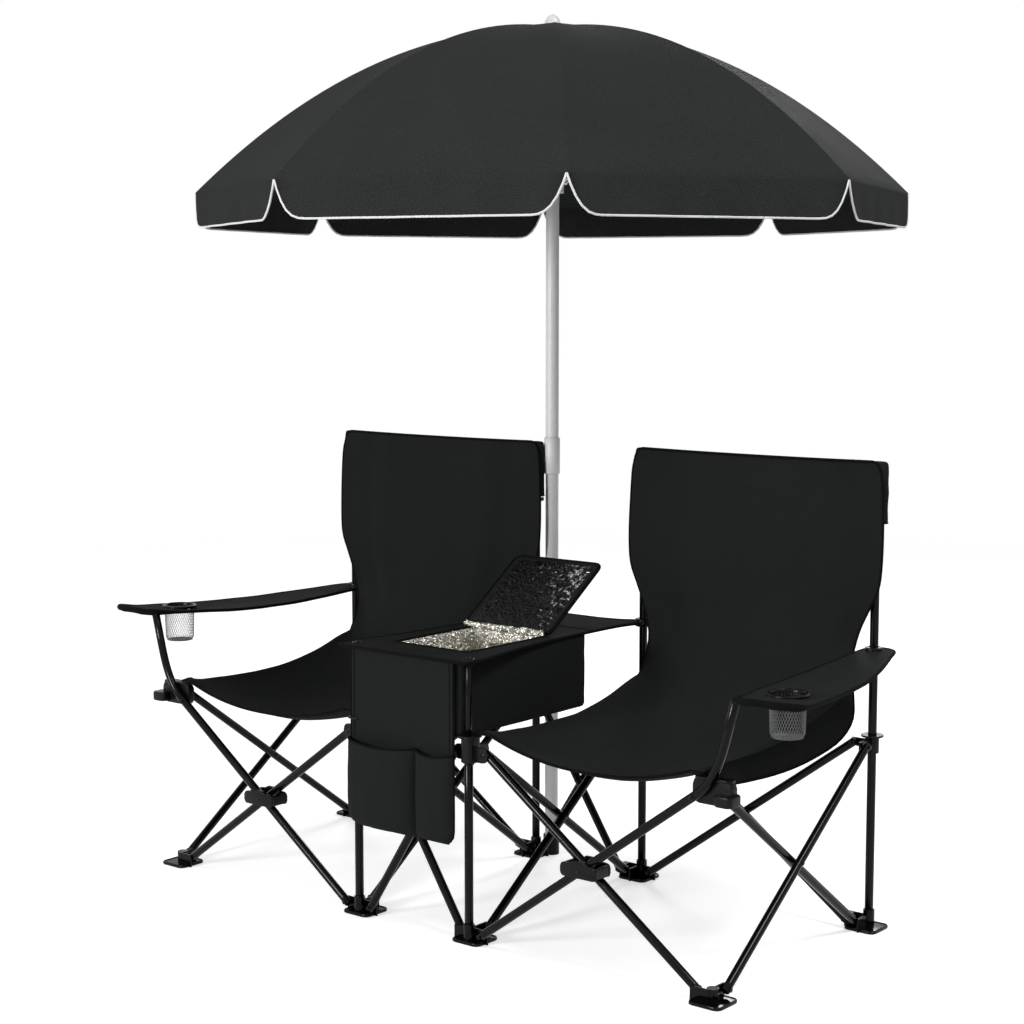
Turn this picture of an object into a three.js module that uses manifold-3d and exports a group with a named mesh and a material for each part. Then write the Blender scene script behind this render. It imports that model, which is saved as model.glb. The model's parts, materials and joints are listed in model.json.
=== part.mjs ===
// A double camping chair: two sling chairs on one folding cross-tube frame, with a fabric table and
// a cooler between them, and an umbrella whose pole stands beside the left chair's inner rear leg.
// Millimetres, +Z up, the front faces -Y, left and right are those of a viewer in front of it.
import * as THREE from 'three';
import { mergeVertices } from 'three/addons/utils/BufferGeometryUtils.js';
import Module from 'manifold-3d';

const wasm = await Module();
wasm.setup();

// Frame
const tubeDiameter = 16;
const tubeWall = 1;
const tubeSides = 8;
const chairPitch = 520;
const tableGap = 274;
const footDepth = 515;
const pivotInset = 31;
const footPivotHeight = 18;
const topPivotHeight = 350;
const legSetback = 9;
const postSetback = 16;
const frontPlaneMiddle = -10;
const legHeight = 866;
const tubeGap = 0.5;
const tubeOverhang = 7;
const seatGap = 0.3;
const pinGap = 0.15;
const slideGap = 0.4;
const overrun = 1;

// Feet, pins and plastic joints
const footPlateWidth = 54;
const footPlateThickness = 4;
const footPlateCorner = 9;
const socketWall = 2.8;
const socketHeight = 34;
const lugThickness = 3;
const lugHeight = 16;
const lugOverhang = 7;
const pinDiameter = 5;
const pinSides = 6;
const pinHeadDiameter = 9;
const pinHeadThickness = 1.6;
const sliderWall = 4.6;
const sliderHeight = 34;
const sliderDrop = 18;
const flangeDiameter = 42;
const flangeThickness = 3.5;
const roundSides = 12;
const knobDiameter = 12;
const knobLength = 11;
const knobGap = 1.5;
const postHeight = 332;
const rodDiameter = 12;
const rodBottom = 76;
const rodCapDiameter = 20;
const rodCapThickness = 5;
const jointBottom = 334;
const jointTop = 384;
const jointWidth = 24;
const jointForward = 11;
const jointRearY = 6;
const jointCorner = 5;
const clampReach = 50;
const clampRearY = 4;
const clampBottom = 338;
const hookWidth = 34;
const hookDepth = 5;
const hookTop = 362;
const hubWidth = 78;
const hubHeight = 36;
const hubThickness = 5;
const hubCorner = 13;

// Bent end of the outer front tubes, which carries the armrest
const armStraight = 10;
const armBendOut = 56;
const armBendUp = 104;
const armTipOut = 16;
const armTipUp = 60;
const armBendSteps = 6;

// Sewn pieces
const clothThickness = 2.4;
const slingRise = 7;
const sleeveHeight = 114;
const sleeveWidth = 40;
const sleeveDepth = 24;
const armrestThickness = 6;
const armrestSag = 12;
const armrestRingDiameter = 34;
const armrestRingHeight = 18;
const cupDiameter = 66;
const cupTaper = 4;
const cupDepth = 74;
const cupWall = 2;
const cupX = 745;
const cupY = 80;
const tableHeight = 520;
const tableThickness = 4;
const tableCornerY = -48;
const tableCornerX = 158;
const tableRingDiameter = 34;
const tableRingHeight = 16;
const coolerHalfWidth = 124;
const coolerFrontY = -22;
const coolerRearY = 356;
const coolerBottom = 376;
const coolerWall = 6;
const mouthLeftX = -88;
const mouthRightX = 96;
const mouthFrontY = 32;
const mouthRearY = 260;
const lidMiddleX = -6;
const lidHalfWidth = 106;
const lidLength = 202;
const lidThickness = 7;
const lidSetback = 6;
const lidLean = 35;
const pocketLeftX = -142;
const pocketRightX = 112;
const pocketSplitX = 24;
const pocketPanelGap = 0.4;
const pocketBottomHeight = 180;
const pocketMouthHeight = 345;
const pocketWideDepth = 34;
const pocketNarrowDepth = 24;
const pocketPoints = 6;

// Umbrella
const umbrellaX = -110;
const umbrellaY = 542;
const umbrellaPoleDiameter = 27;
const umbrellaPoleWall = 1.5;
const umbrellaPoleSides = 16;
const umbrellaSocketHeight = 42;
const umbrellaSocketWall = 3;
const umbrellaSocketFloor = 6;
const couplingBottom = 805;
const couplingTop = 881;
const couplingDiameter = 32.6;
const poleJoin = 830;
const canopyTop = 1713;
const canopyRim = 1380;
const canopyRadius = 727;
const canopyPower = 2.12;
const valanceDrop = 70;
const valanceFlare = 5;
const ribCount = 8;
const ribTurn = 39.9;
const ribWidth = 6;
const ribDepth = 5;
const ribHingeRadius = 26.5;
const ribHingeLead = 1;
const ribTipInset = 8;
const crownDiameter = 44;
const crownHeight = 24;
const crownDrop = 1.5;
const spindleDiameter = 12;
const finialDiameter = 36;
const finialHeight = 24;
const finialLift = 0.3;
const runnerDiameter = 46;
const runnerHeight = 40;
const runnerTop = 1420;
const stretcherDiameter = 5;
const stretcherSides = 5;

// Shares along the canopy's radius where its rings lie, the third last one over the stretchers' ends
const canopyRingShares = [0.1, 0.24, 0.38, 0.52, 0.68, 0.84, 1];
const stretcherRing = 3;

// Sling stations from the back's top to the seat's front edge: half width as a share of the chair's
// pitch, then depth of the crest and the centre as shares of the feet's depth, and heights of the
// crest, the centre and the free side edge as shares of the sling's top
const slingStationShares = [
  { width: 0.528, crestY: 0.9955, centreY: 0.990, crestZ: 0.9986, centreZ: 0.997, edgeZ: 0.9986 },
  { width: 0.536, crestY: 0.9920, centreY: 0.981, crestZ: 0.953, centreZ: 0.951, edgeZ: 0.953 },
  { width: 0.542, crestY: 0.9880, centreY: 0.967, crestZ: 0.880, centreZ: 0.879, edgeZ: 0.880 },
  { width: 0.543, crestY: 0.9840, centreY: 0.950, crestZ: 0.793, centreZ: 0.793, edgeZ: 0.793 },
  { width: 0.534, crestY: 0.9810, centreY: 0.937, crestZ: 0.736, centreZ: 0.735, edgeZ: 0.736 },
  { width: 0.500, crestY: 0.9780, centreY: 0.927, crestZ: 0.690, centreZ: 0.687, edgeZ: 0.690 },
  { width: 0.460, crestY: 0.9750, centreY: 0.914, crestZ: 0.638, centreZ: 0.633, edgeZ: 0.638 },
  { width: 0.440, crestY: 0.9710, centreY: 0.889, crestZ: 0.580, centreZ: 0.569, edgeZ: 0.577 },
  { width: 0.452, crestY: 0.9580, centreY: 0.846, crestZ: 0.529, centreZ: 0.509, edgeZ: 0.515 },
  { width: 0.474, crestY: 0.9220, centreY: 0.777, crestZ: 0.500, centreZ: 0.456, edgeZ: 0.462 },
  { width: 0.474, crestY: 0.8350, centreY: 0.680, crestZ: 0.487, centreZ: 0.414, edgeZ: 0.424 },
  { width: 0.466, crestY: 0.6800, centreY: 0.540, crestZ: 0.463, centreZ: 0.385, edgeZ: 0.403 },
  { width: 0.466, crestY: 0.4900, centreY: 0.385, crestZ: 0.444, centreZ: 0.374, edgeZ: 0.396 },
  { width: 0.466, crestY: 0.2900, centreY: 0.225, crestZ: 0.441, centreZ: 0.374, edgeZ: 0.400 },
  { width: 0.466, crestY: 0.1200, centreY: 0.090, crestZ: 0.444, centreZ: 0.384, edgeZ: 0.412 },
  { width: 0.464, crestY: 0.0360, centreY: 0.020, crestZ: 0.446, centreZ: 0.396, edgeZ: 0.445 },
  { width: 0.462, crestY: -0.020, centreY: -0.030, crestZ: 0.447, centreZ: 0.407, edgeZ: 0.445 },
];
// Shares of the half width where the sling's columns lie, and the one that its crest runs along
const slingColumnShares = [-1, -0.9, -0.72, -0.45, -0.15, 0.15, 0.45, 0.72, 0.9, 1];
const slingCrestShare = 0.9;
const slingSagPower = 2.2;

// Armrest stations from the rear ring to the front: place as a share of the feet's depth, inner and
// outer edge as shares of the pitch outward from the leg, and sag as a share of the deepest sag
const armrestStationShares = [
  { back: 1.088, inner: -0.030, outer: 0.022, sag: 0.00 },
  { back: 1.052, inner: -0.041, outer: 0.062, sag: 0.00 },
  { back: 0.950, inner: -0.044, outer: 0.100, sag: 0.15 },
  { back: 0.760, inner: -0.039, outer: 0.164, sag: 0.70 },
  { back: 0.560, inner: -0.027, outer: 0.218, sag: 1.00 },
  { back: 0.360, inner: -0.004, outer: 0.258, sag: 0.95 },
  { back: 0.200, inner: 0.030, outer: 0.290, sag: 0.55 },
  { back: 0.080, inner: 0.064, outer: 0.312, sag: 0.20 },
  { back: -0.010, inner: 0.088, outer: 0.320, sag: -0.20 },
  { back: -0.044, inner: 0.104, outer: 0.300, sag: -0.35 },
  { back: -0.064, inner: 0.150, outer: 0.250, sag: -0.40 },
];
const armrestColumnShares = [0, 0.5, 1];

// Half of the table's outline from the front corner to the middle of the rear edge: shares of the
// front corner's half width and of the feet's depth
const tableEdgeShares = [
  [0.94, -0.093], [1, -0.075], [0.985, 0.02], [0.875, 0.22], [0.805, 0.45], [0.785, 0.70],
  [0.80, 0.88], [0.86, 0.985], [0.78, 1.03], [0.55, 0.995], [0.25, 0.978],
];

// Worked out from the sizes above
const tubeRadius = tubeDiameter / 2;
const planePitch = tubeDiameter + tubeGap;
const innerX = tableGap / 2;
const outerX = innerX + chairPitch;
const chairSpan = chairPitch - 2 * pivotInset;
const centreSpan = tableGap - 2 * pivotInset;
const frontPivotY = (footDepth - chairSpan) / 2;
const rearPivotY = footDepth - frontPivotY;
const legY = footDepth + legSetback;
const postY = -postSetback;
const frontNear = frontPlaneMiddle - planePitch / 2;
const frontFar = frontNear + planePitch;
const rearFar = legY - tubeDiameter - tubeGap;
const rearNear = rearFar - planePitch;
const midPivotHeight = (footPivotHeight + topPivotHeight) / 2;
const socketRadius = tubeRadius + socketWall;
const sliderRadius = tubeRadius + slideGap + sliderWall;
const holeDiameter = (pinDiameter + 2 * pinGap) / Math.cos(Math.PI / pinSides);
const slingTop = legHeight + slingRise;
const sleeveBottom = slingTop - sleeveHeight;
const knobHeight = sleeveBottom - knobGap - knobDiameter / 2;
const canopyHoleDiameter = (spindleDiameter + 2 * seatGap) / Math.cos(Math.PI / ribCount);
const armrestBottom = tableHeight - armrestThickness / 3;
const rodTop = tableHeight - seatGap;
const legBore = tubeDiameter + 2 * slideGap;
const umbrellaAxis = new THREE.Vector3(umbrellaX, umbrellaY, 0);
const pocketY = postY - jointForward - pocketPanelGap - clothThickness / 2;

// Finishes
const finish = (color, roughness, metalness) => ({ color, roughness, metalness });
const blackSteel = finish(0x17181a, 0.42, 0.6);
const blackPlastic = finish(0x141517, 0.55, 0);
const blackCloth = finish(0x16171a, 0.9, 0);
const silverFoil = finish(0x8f9296, 0.35, 0.4);
const greySteel = finish(0xc9cccf, 0.4, 0.3);
const greyPlastic = finish(0xd6d8da, 0.5, 0);

const assembly = new THREE.Group();

// Turns a closed geometry into a solid
function solid(geometry) {
  for (const name of ['normal', 'uv']) geometry.deleteAttribute(name);
  const merged = mergeVertices(geometry);
  const vertProperties = new Float32Array(merged.attributes.position.array);
  const triVerts = new Uint32Array(merged.index.array);
  return new wasm.Manifold(new wasm.Mesh({ numProp: 3, vertProperties, triVerts }));
}

function join(...solids) {
  return solids.reduce((whole, piece) => whole.add(piece));
}

// Adds one named sub-part to the assembly
function addPart(name, shape, look) {
  const mesh = shape.getMesh();
  const geometry = new THREE.BufferGeometry();
  geometry.setAttribute('position', new THREE.BufferAttribute(mesh.vertProperties, mesh.numProp));
  geometry.setIndex(new THREE.BufferAttribute(mesh.triVerts, 1));
  geometry.computeVertexNormals();
  const part = new THREE.Mesh(geometry, new THREE.MeshStandardMaterial(look));
  part.name = name;
  assembly.add(part);
}

function block(x, y, z) {
  const [low, high] = [new THREE.Vector3(), new THREE.Vector3()];
  low.set(Math.min(...x), Math.min(...y), Math.min(...z));
  high.set(Math.max(...x), Math.max(...y), Math.max(...z));
  const size = high.clone().sub(low);
  const middle = low.add(high).multiplyScalar(0.5);
  return solid(new THREE.BoxGeometry(size.x, size.y, size.z).translate(middle.x, middle.y, middle.z));
}

// A round bar along one axis, through the point given, between two places on that axis
function bar(axis, through, from, to, diameter, sides = roundSides, endDiameter = diameter) {
  const length = Math.abs(to - from);
  const geometry = new THREE.CylinderGeometry(endDiameter / 2, diameter / 2, length, sides);
  const turn = { x: [0, 0, -Math.PI / 2], y: [0, 0, 0], z: [Math.PI / 2, 0, 0] }[axis];
  geometry.rotateX(turn[0]).rotateZ(turn[2]);
  const middle = through.clone().setComponent('xyz'.indexOf(axis), (from + to) / 2);
  return solid(geometry.translate(middle.x, middle.y, middle.z));
}

function circlePoints(radius, sides) {
  const turn = (k) => ((k + 0.5) / sides) * 2 * Math.PI;
  return Array.from({ length: sides }, (_, k) =>
    new THREE.Vector2(radius * Math.cos(turn(k)), radius * Math.sin(turn(k))));
}

// An outline raised from one height to another, or laid in a plane square to Y
function plate(points, low, high, standing = false) {
  const geometry = new THREE.ExtrudeGeometry(new THREE.Shape(points),
    { depth: high - low, bevelEnabled: false });
  geometry.translate(0, 0, low);
  if (standing) geometry.rotateX(Math.PI / 2).scale(1, -1, 1);
  return solid(standing ? flipped(geometry) : geometry);
}

// Turns every face of an unindexed geometry inside out
function flipped(geometry) {
  const place = geometry.attributes.position;
  const [first, second] = [new THREE.Vector3(), new THREE.Vector3()];
  for (let k = 0; k < place.count; k += 3) {
    first.fromBufferAttribute(place, k);
    second.fromBufferAttribute(place, k + 1);
    place.setXYZ(k, second.x, second.y, second.z);
    place.setXYZ(k + 1, first.x, first.y, first.z);
  }
  return geometry;
}

function clippedRectangle(x, y, halfWidth, halfDepth, corner) {
  const points = [];
  for (const [sx, sy, first] of [[1, 1, 0], [-1, 1, 1], [-1, -1, 0], [1, -1, 1]]) {
    const along = new THREE.Vector2(x + sx * (halfWidth - corner), y + sy * halfDepth);
    const across = new THREE.Vector2(x + sx * halfWidth, y + sy * (halfDepth - corner));
    points.push(...(first ? [along, across] : [across, along]));
  }
  return points;
}

// A path whose steps fall on the stations given
class StationPath extends THREE.Curve {
  constructor(stations) {
    super();
    this.stations = stations;
  }

  getPoint(t, target = new THREE.Vector3()) {
    const place = Math.min(t * (this.stations.length - 1), this.stations.length - 1);
    const k = Math.min(Math.floor(place), this.stations.length - 2);
    return target.lerpVectors(this.stations[k], this.stations[k + 1], place - k);
  }

  getPointAt(u, target) {
    return this.getPoint(u, target);
  }

  getTangent(t, target = new THREE.Vector3()) {
    const step = 0.5 / (this.stations.length - 1);
    const ahead = this.getPoint(Math.min(t + step, 1));
    return target.copy(ahead).sub(this.getPoint(Math.max(t - step, 0))).normalize();
  }

  getTangentAt(u, target) {
    return this.getTangent(u, target);
  }
}

function sweep(stations, points, holes = []) {
  const section = new THREE.Shape(points);
  section.holes = holes.map((hole) => new THREE.Path(hole));
  const extrudePath = new StationPath(stations);
  const steps = stations.length - 1;
  return solid(new THREE.ExtrudeGeometry(section, { steps, extrudePath, bevelEnabled: false }));
}

function hollowTube(stations, diameter, wall, sides) {
  const bore = circlePoints(diameter / 2 - wall, sides).reverse();
  return sweep(stations, circlePoints(diameter / 2, sides), [bore]);
}

// A place in a bay: along its run, across it, and up. A bay runs along X or along Y
function inBay(run, along, across, z) {
  return run === 'x' ? new THREE.Vector3(along, across, z) : new THREE.Vector3(across, along, z);
}

const acrossOf = (run) => (run === 'x' ? 'y' : 'x');

// One cross tube between two pivots of a bay, with a hole at each pivot. A rivet at its middle
// reaches through the tube in the other plane. Stations past the top pivot bend it into an arm.
function crossTube(options) {
  const { run, plane, from, to } = options;
  const { rivetTo = null, holes = ['foot', 'middle', 'top'], arm = [] } = options;
  const foot = inBay(run, from, plane, footPivotHeight);
  const top = inBay(run, to, plane, topPivotHeight);
  const lead = top.clone().sub(foot).setLength(tubeOverhang);
  const start = foot.clone().sub(lead);
  const end = top.clone().add(lead);
  const path = [start, ...(arm.length ? arm : [end])];
  let tube = hollowTube(path, tubeDiameter, tubeWall, tubeSides);
  const middle = foot.clone().lerp(top, 0.5);
  const reach = tubeRadius + overrun;
  for (const [name, place] of Object.entries({ foot, middle, top })) {
    if (!holes.includes(name)) continue;
    const hole = bar(acrossOf(run), place, plane - reach, plane + reach, holeDiameter, pinSides);
    tube = tube.subtract(hole);
  }
  return rivetTo === null ? tube : tube.add(rivet(acrossOf(run), middle, plane, rivetTo));
}

// A pin from one tube plane through the tube in another, with its head past that tube
function rivet(axis, place, fromPlane, toPlane) {
  const side = Math.sign(toPlane - fromPlane);
  const headFrom = toPlane + side * (tubeRadius + seatGap);
  const headTo = headFrom + side * pinHeadThickness;
  return join(
    bar(axis, place, fromPlane + side * (tubeRadius - tubeWall), headTo, pinDiameter, pinSides),
    bar(axis, place, headFrom, headTo, pinHeadDiameter, pinSides));
}

// A lug on a column that holds one tube's end: an upright plate beside the tube, with a pin through
// the tube. `column` is the column's place along and across the bay; `side` says on which side of
// the tube the plate lies; a tube that stands off the column gets a thicker end.
function lug(options) {
  const { run, column, toward, plane, side, height } = options;
  const { pinned = true, low = lugHeight / 2, high = lugHeight / 2 } = options;
  const [along, across] = column;
  const pivot = toward;
  const direction = Math.sign(pivot - along);
  const tip = pivot + direction * lugOverhang;
  const face = plane + side * (tubeRadius + seatGap);
  const nearColumn = across - side * (socketRadius - lugThickness + seatGap);
  const standsOff = side * (nearColumn - face) > seatGap;
  const plateFrom = standsOff ? nearColumn : face;
  const plateTo = plateFrom + side * lugThickness;
  const levels = [height - low, height + high];
  const slab = (a0, a1, c0, c1) => {
    const [x, y] = run === 'x' ? [[a0, a1], [c0, c1]] : [[c0, c1], [a0, a1]];
    return block(x, y, levels);
  };
  let shape = slab(along, tip, plateFrom, plateTo);
  if (standsOff) shape = shape.add(slab(pivot - direction * lugOverhang, tip, face, plateTo));
  if (!pinned) return shape;
  const head = plane - side * (tubeRadius + seatGap);
  const headEnd = head - side * pinHeadThickness;
  const place = inBay(run, pivot, plane, height);
  return join(shape,
    bar(acrossOf(run), place, plateTo, headEnd, pinDiameter, pinSides),
    bar(acrossOf(run), place, head, headEnd, pinHeadDiameter, pinSides));
}

// The four rows of legs: name, place along X, and the way to the chair and to the table from it
const rows = [
  { name: 'left_outer', x: -outerX, chair: 1, table: 0 },
  { name: 'left_inner', x: -innerX, chair: -1, table: 1 },
  { name: 'right_inner', x: innerX, chair: 1, table: -1 },
  { name: 'right_outer', x: outerX, chair: -1, table: 0 },
];

// Side tubes stand either side of their legs: the one from the rear foot on the table's side of an
// outer leg, the one from the front foot on the other
const sidePlanes = (row) => {
  const outward = Math.sign(row.x);
  return { fromRear: row.x - outward * planePitch / 2, fromFront: row.x + outward * planePitch / 2 };
};

// Options of a lug that stands on its foot plate
const standing = { low: footPivotHeight };

function footPlate(x, y) {
  const half = footPlateWidth / 2;
  return plate(clippedRectangle(x, y, half, half, footPlateCorner), 0, footPlateThickness);
}

function sideLug(row, columnY, pivotY, plane, height, options = {}) {
  const side = Math.sign(row.x - plane);
  return lug({ run: 'y', column: [columnY, row.x], toward: pivotY, plane, side, height, ...options });
}

function rearPlaneAtFoot(row, direction) {
  const fromHere = { left_outer: 0, left_inner: -1, right_inner: 1, right_outer: 0 }[row.name];
  const carriesCentre = row.name === 'left_inner' && direction > 0;
  return direction === fromHere || carriesCentre ? rearFar : rearNear;
}

const directionsOf = (row) => [row.chair, row.table].filter((direction) => direction !== 0);

function rearLug(row, direction, plane, height, options) {
  const toward = row.x + direction * pivotInset;
  return lug({ run: 'x', column: [row.x, legY], toward, plane, side: 1, height, ...options });
}

// Rear leg: foot plate, socket, lugs for the tubes that start here, the leg and its sleeve knob
function addRearLeg(row) {
  const centre = new THREE.Vector3(row.x, legY, 0);
  const knobPlace = new THREE.Vector3(row.x, 0, knobHeight);
  const knobEnd = legY + tubeRadius + knobLength;
  const bore = tubeDiameter - 2 * tubeWall;
  const footLug = (d) => rearLug(row, d, rearPlaneAtFoot(row, d), footPivotHeight, standing);
  const leg = join(
    footPlate(row.x, footDepth),
    bar('z', centre, 0, socketHeight, 2 * socketRadius),
    sideLug(row, legY, rearPivotY, sidePlanes(row).fromRear, footPivotHeight, standing),
    ...directionsOf(row).map(footLug),
    bar('z', centre, footPlateThickness, legHeight, tubeDiameter),
    bar('y', knobPlace, legY, knobEnd, knobDiameter, pinSides))
    .subtract(bar('z', centre, footPlateThickness + overrun, legHeight + overrun, bore));
  addPart(`rear_leg_${row.name}`, leg, blackSteel);
}

// Rear slider: a collar that runs on the leg, with lugs for the tubes that end here
function addRearSlider(row) {
  const centre = new THREE.Vector3(row.x, legY, 0);
  const [low, top] = [topPivotHeight - sliderDrop, topPivotHeight - sliderDrop + sliderHeight];
  const endPlane = (d) => (rearPlaneAtFoot(row, d) === rearFar ? rearNear : rearFar);
  const endLug = (d) => rearLug(row, d, endPlane(d), topPivotHeight, { pinned: d === row.chair });
  let slider = join(
    bar('z', centre, low, top, 2 * sliderRadius),
    bar('z', centre, top - flangeThickness, top, flangeDiameter),
    sideLug(row, legY, rearPivotY, sidePlanes(row).fromFront, topPivotHeight),
    ...directionsOf(row).map(endLug));
  slider = slider.subtract(bar('z', centre, low - overrun, top + overrun, legBore));
  if (row.name === 'left_inner') {
    const relief = umbrellaPoleDiameter + 2 * overrun;
    slider = slider.subtract(bar('z', umbrellaAxis, low - overrun, top + overrun, relief));
  }
  addPart(`rear_slider_${row.name}`, slider, blackPlastic);
}

// The bent tubes stand in the near plane with the centre tube from the left, the others behind them
function frontPlaneAtFoot(row, direction) {
  const near = direction === row.chair ? row.table !== 0 : row.x < 0;
  return near ? frontNear : frontFar;
}

function frontLug(row, direction, height, atFoot, options = {}) {
  const here = frontPlaneAtFoot(row, direction);
  const plane = atFoot ? here : frontNear + frontFar - here;
  const side = plane === frontNear ? 1 : -1;
  const toward = row.x + direction * pivotInset;
  return lug({ run: 'x', column: [row.x, postY], toward, plane, side, height, ...options });
}

// Front foot: plate, socket and lugs; an inner one also carries the lower post
function addFrontFoot(row) {
  const inner = row.table !== 0;
  const centre = new THREE.Vector3(row.x, inner ? postY : 0, 0);
  let foot = join(
    footPlate(row.x, 0),
    bar('z', centre, 0, inner ? socketHeight : footPivotHeight + lugHeight / 2, 2 * socketRadius),
    sideLug(row, centre.y, frontPivotY, sidePlanes(row).fromFront, footPivotHeight, standing),
    ...directionsOf(row).map((d) => frontLug(row, d, footPivotHeight, true, standing)));
  if (inner) {
    foot = foot.add(bar('z', centre, footPlateThickness, postHeight, tubeDiameter));
    const bore = tubeDiameter - 2 * tubeWall;
    foot = foot.subtract(bar('z', centre, footPlateThickness + overrun, postHeight + overrun, bore));
  }
  addPart(`front_${inner ? 'post' : 'foot'}_${row.name}`, foot, blackSteel);
}

// Inner front joint: a block that carries the tubes' ends and the rod that runs in the lower post
function addInnerFrontJoint(row) {
  const centre = new THREE.Vector3(row.x, postY, 0);
  const [front, rear] = [postY - jointForward, jointRearY];
  const [midY, halfDepth] = [(front + rear) / 2, (rear - front) / 2];
  const core = clippedRectangle(row.x, midY, jointWidth / 2, halfDepth, jointCorner);
  const ear = { low: topPivotHeight - jointBottom, high: lugHeight };
  const joint = join(
    plate(core, jointBottom, jointTop),
    frontLug(row, row.chair, topPivotHeight, false, ear),
    frontLug(row, row.table, topPivotHeight, false, { ...ear, pinned: false }),
    sideLug(row, postY, frontPivotY, sidePlanes(row).fromRear, topPivotHeight, ear),
    bar('z', centre, rodBottom, rodTop, rodDiameter),
    bar('z', centre, rodTop - rodCapThickness, rodTop, rodCapDiameter));
  addPart(`front_joint_${row.name}`, joint, blackPlastic);
}

// Outer front joint: a plate behind the bent tube, pinned to it, with a hook that stands out past
// the tube and a lug for the side tube
function addOuterFrontJoint(row) {
  const outer = row.x - row.chair * clampReach;
  const pivotX = row.x + row.chair * pivotInset;
  const inner = pivotX + row.chair * lugOverhang;
  const [front, rear] = [frontNear - tubeRadius - seatGap, frontNear + tubeRadius + seatGap];
  const pinPlace = new THREE.Vector3(pivotX, frontNear, topPivotHeight);
  const face = clippedRectangle((outer + inner) / 2, (clampBottom + jointTop) / 2,
    Math.abs(outer - inner) / 2, (jointTop - clampBottom) / 2, jointCorner);
  const ear = { low: topPivotHeight - clampBottom, high: lugHeight };
  const headEnd = front - pinHeadThickness;
  const joint = join(
    plate(face, rear, clampRearY, true),
    block([outer, outer + row.chair * hookWidth], [front - hookDepth, clampRearY],
      [clampBottom + jointCorner, hookTop]),
    sideLug(row, (rear + clampRearY) / 2, frontPivotY, sidePlanes(row).fromRear, topPivotHeight, ear),
    bar('y', pinPlace, headEnd, rear + seatGap, pinDiameter, pinSides),
    bar('y', pinPlace, headEnd, front, pinHeadDiameter, pinSides));
  addPart(`front_joint_${row.name}`, joint, blackPlastic);
}

// Front hub: two rounded plates on the pin that joins a chair's front tubes
function addFrontHub(name, x) {
  const outline = clippedRectangle(x, midPivotHeight, hubWidth / 2, hubHeight / 2, hubCorner);
  const [front, rear] = [frontNear - tubeRadius - seatGap, frontFar + tubeRadius + seatGap];
  const place = new THREE.Vector3(x, 0, midPivotHeight);
  addPart(`front_hub_${name}`, join(
    plate(outline, front - hubThickness, front, true),
    plate(outline, rear, rear + hubThickness, true),
    bar('y', place, front - hubThickness, rear + hubThickness, pinDiameter, pinSides)), blackPlastic);
}

// The bent end of an outer front tube, from just past its top pivot to the armrest
function armStations(chair, plane) {
  const outward = -chair;
  const pivot = new THREE.Vector3(outward * (outerX - pivotInset), plane, topPivotHeight);
  const slope = new THREE.Vector3(outward * chairSpan, 0, topPivotHeight - footPivotHeight).normalize();
  const bendStart = pivot.clone().addScaledVector(slope, armStraight);
  const bendEnd = bendStart.clone().add(new THREE.Vector3(outward * armBendOut, 0, armBendUp));
  const tip = bendEnd.clone().add(new THREE.Vector3(outward * armTipOut, 0, armTipUp));
  const rise = tip.clone().sub(bendEnd).normalize();
  const pull = bendStart.distanceTo(bendEnd) / 3;
  const bend = new THREE.CubicBezierCurve3(bendStart, bendStart.clone().addScaledVector(slope, pull),
    bendEnd.clone().addScaledVector(rise, -pull), bendEnd);
  const rim = armrestBottom - seatGap - tubeRadius * Math.abs(rise.x);
  const stretch = (rim - bendEnd.z) / rise.z;
  return [...bend.getPoints(armBendSteps), bendEnd.clone().addScaledVector(rise, stretch)];
}

function addChairTubes(name, outer, inner) {
  const out = outer.x + outer.chair * pivotInset;
  const near = inner.x + inner.chair * pivotInset;
  const arm = armStations(outer.chair, frontNear);
  const addTube = (tubeName, options) =>
    addPart(tubeName, crossTube({ run: 'x', ...options }), blackSteel);
  addTube(`front_arm_tube_${name}`, { plane: frontNear, from: near, to: out, arm });
  addTube(`front_cross_tube_${name}`, { plane: frontFar, from: out, to: near });
  addTube(`rear_tube_${name}_from_inner`, { plane: rearFar, from: near, to: out });
  addTube(`rear_tube_${name}_from_outer`,
    { plane: rearNear, from: out, to: near, rivetTo: rearFar, holes: ['foot', 'top'] });
  addFrontHub(name, (outer.x + inner.x) / 2);
}

function addSideTubes(row) {
  const { fromRear, fromFront } = sidePlanes(row);
  const [front, rear] = [frontPivotY, rearPivotY];
  const addTube = (end, options) =>
    addPart(`side_tube_${row.name}_${end}`, crossTube({ run: 'y', ...options }), blackSteel);
  addTube('from_rear', { plane: fromRear, from: rear, to: front });
  addTube('from_front',
    { plane: fromFront, from: front, to: rear, rivetTo: fromRear, holes: ['foot', 'top'] });
}

// The short cross tubes under the table. Their top ends only rest against the joints' lugs
function addCentreTubes() {
  const [left, right] = [-innerX + pivotInset, innerX - pivotInset];
  const centreTube = (name, plane, from, to, rivetTo) => {
    const holes = rivetTo === null ? ['foot', 'middle'] : ['foot'];
    addPart(name, crossTube({ run: 'x', plane, from, to, rivetTo, holes }), blackSteel);
  };
  centreTube('centre_front_tube_from_left', frontNear, left, right, frontFar);
  centreTube('centre_front_tube_from_right', frontFar, right, left, null);
  centreTube('centre_rear_tube_from_left', rearFar, left, right, null);
  centreTube('centre_rear_tube_from_right', rearNear, right, left, rearFar);
}

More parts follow.
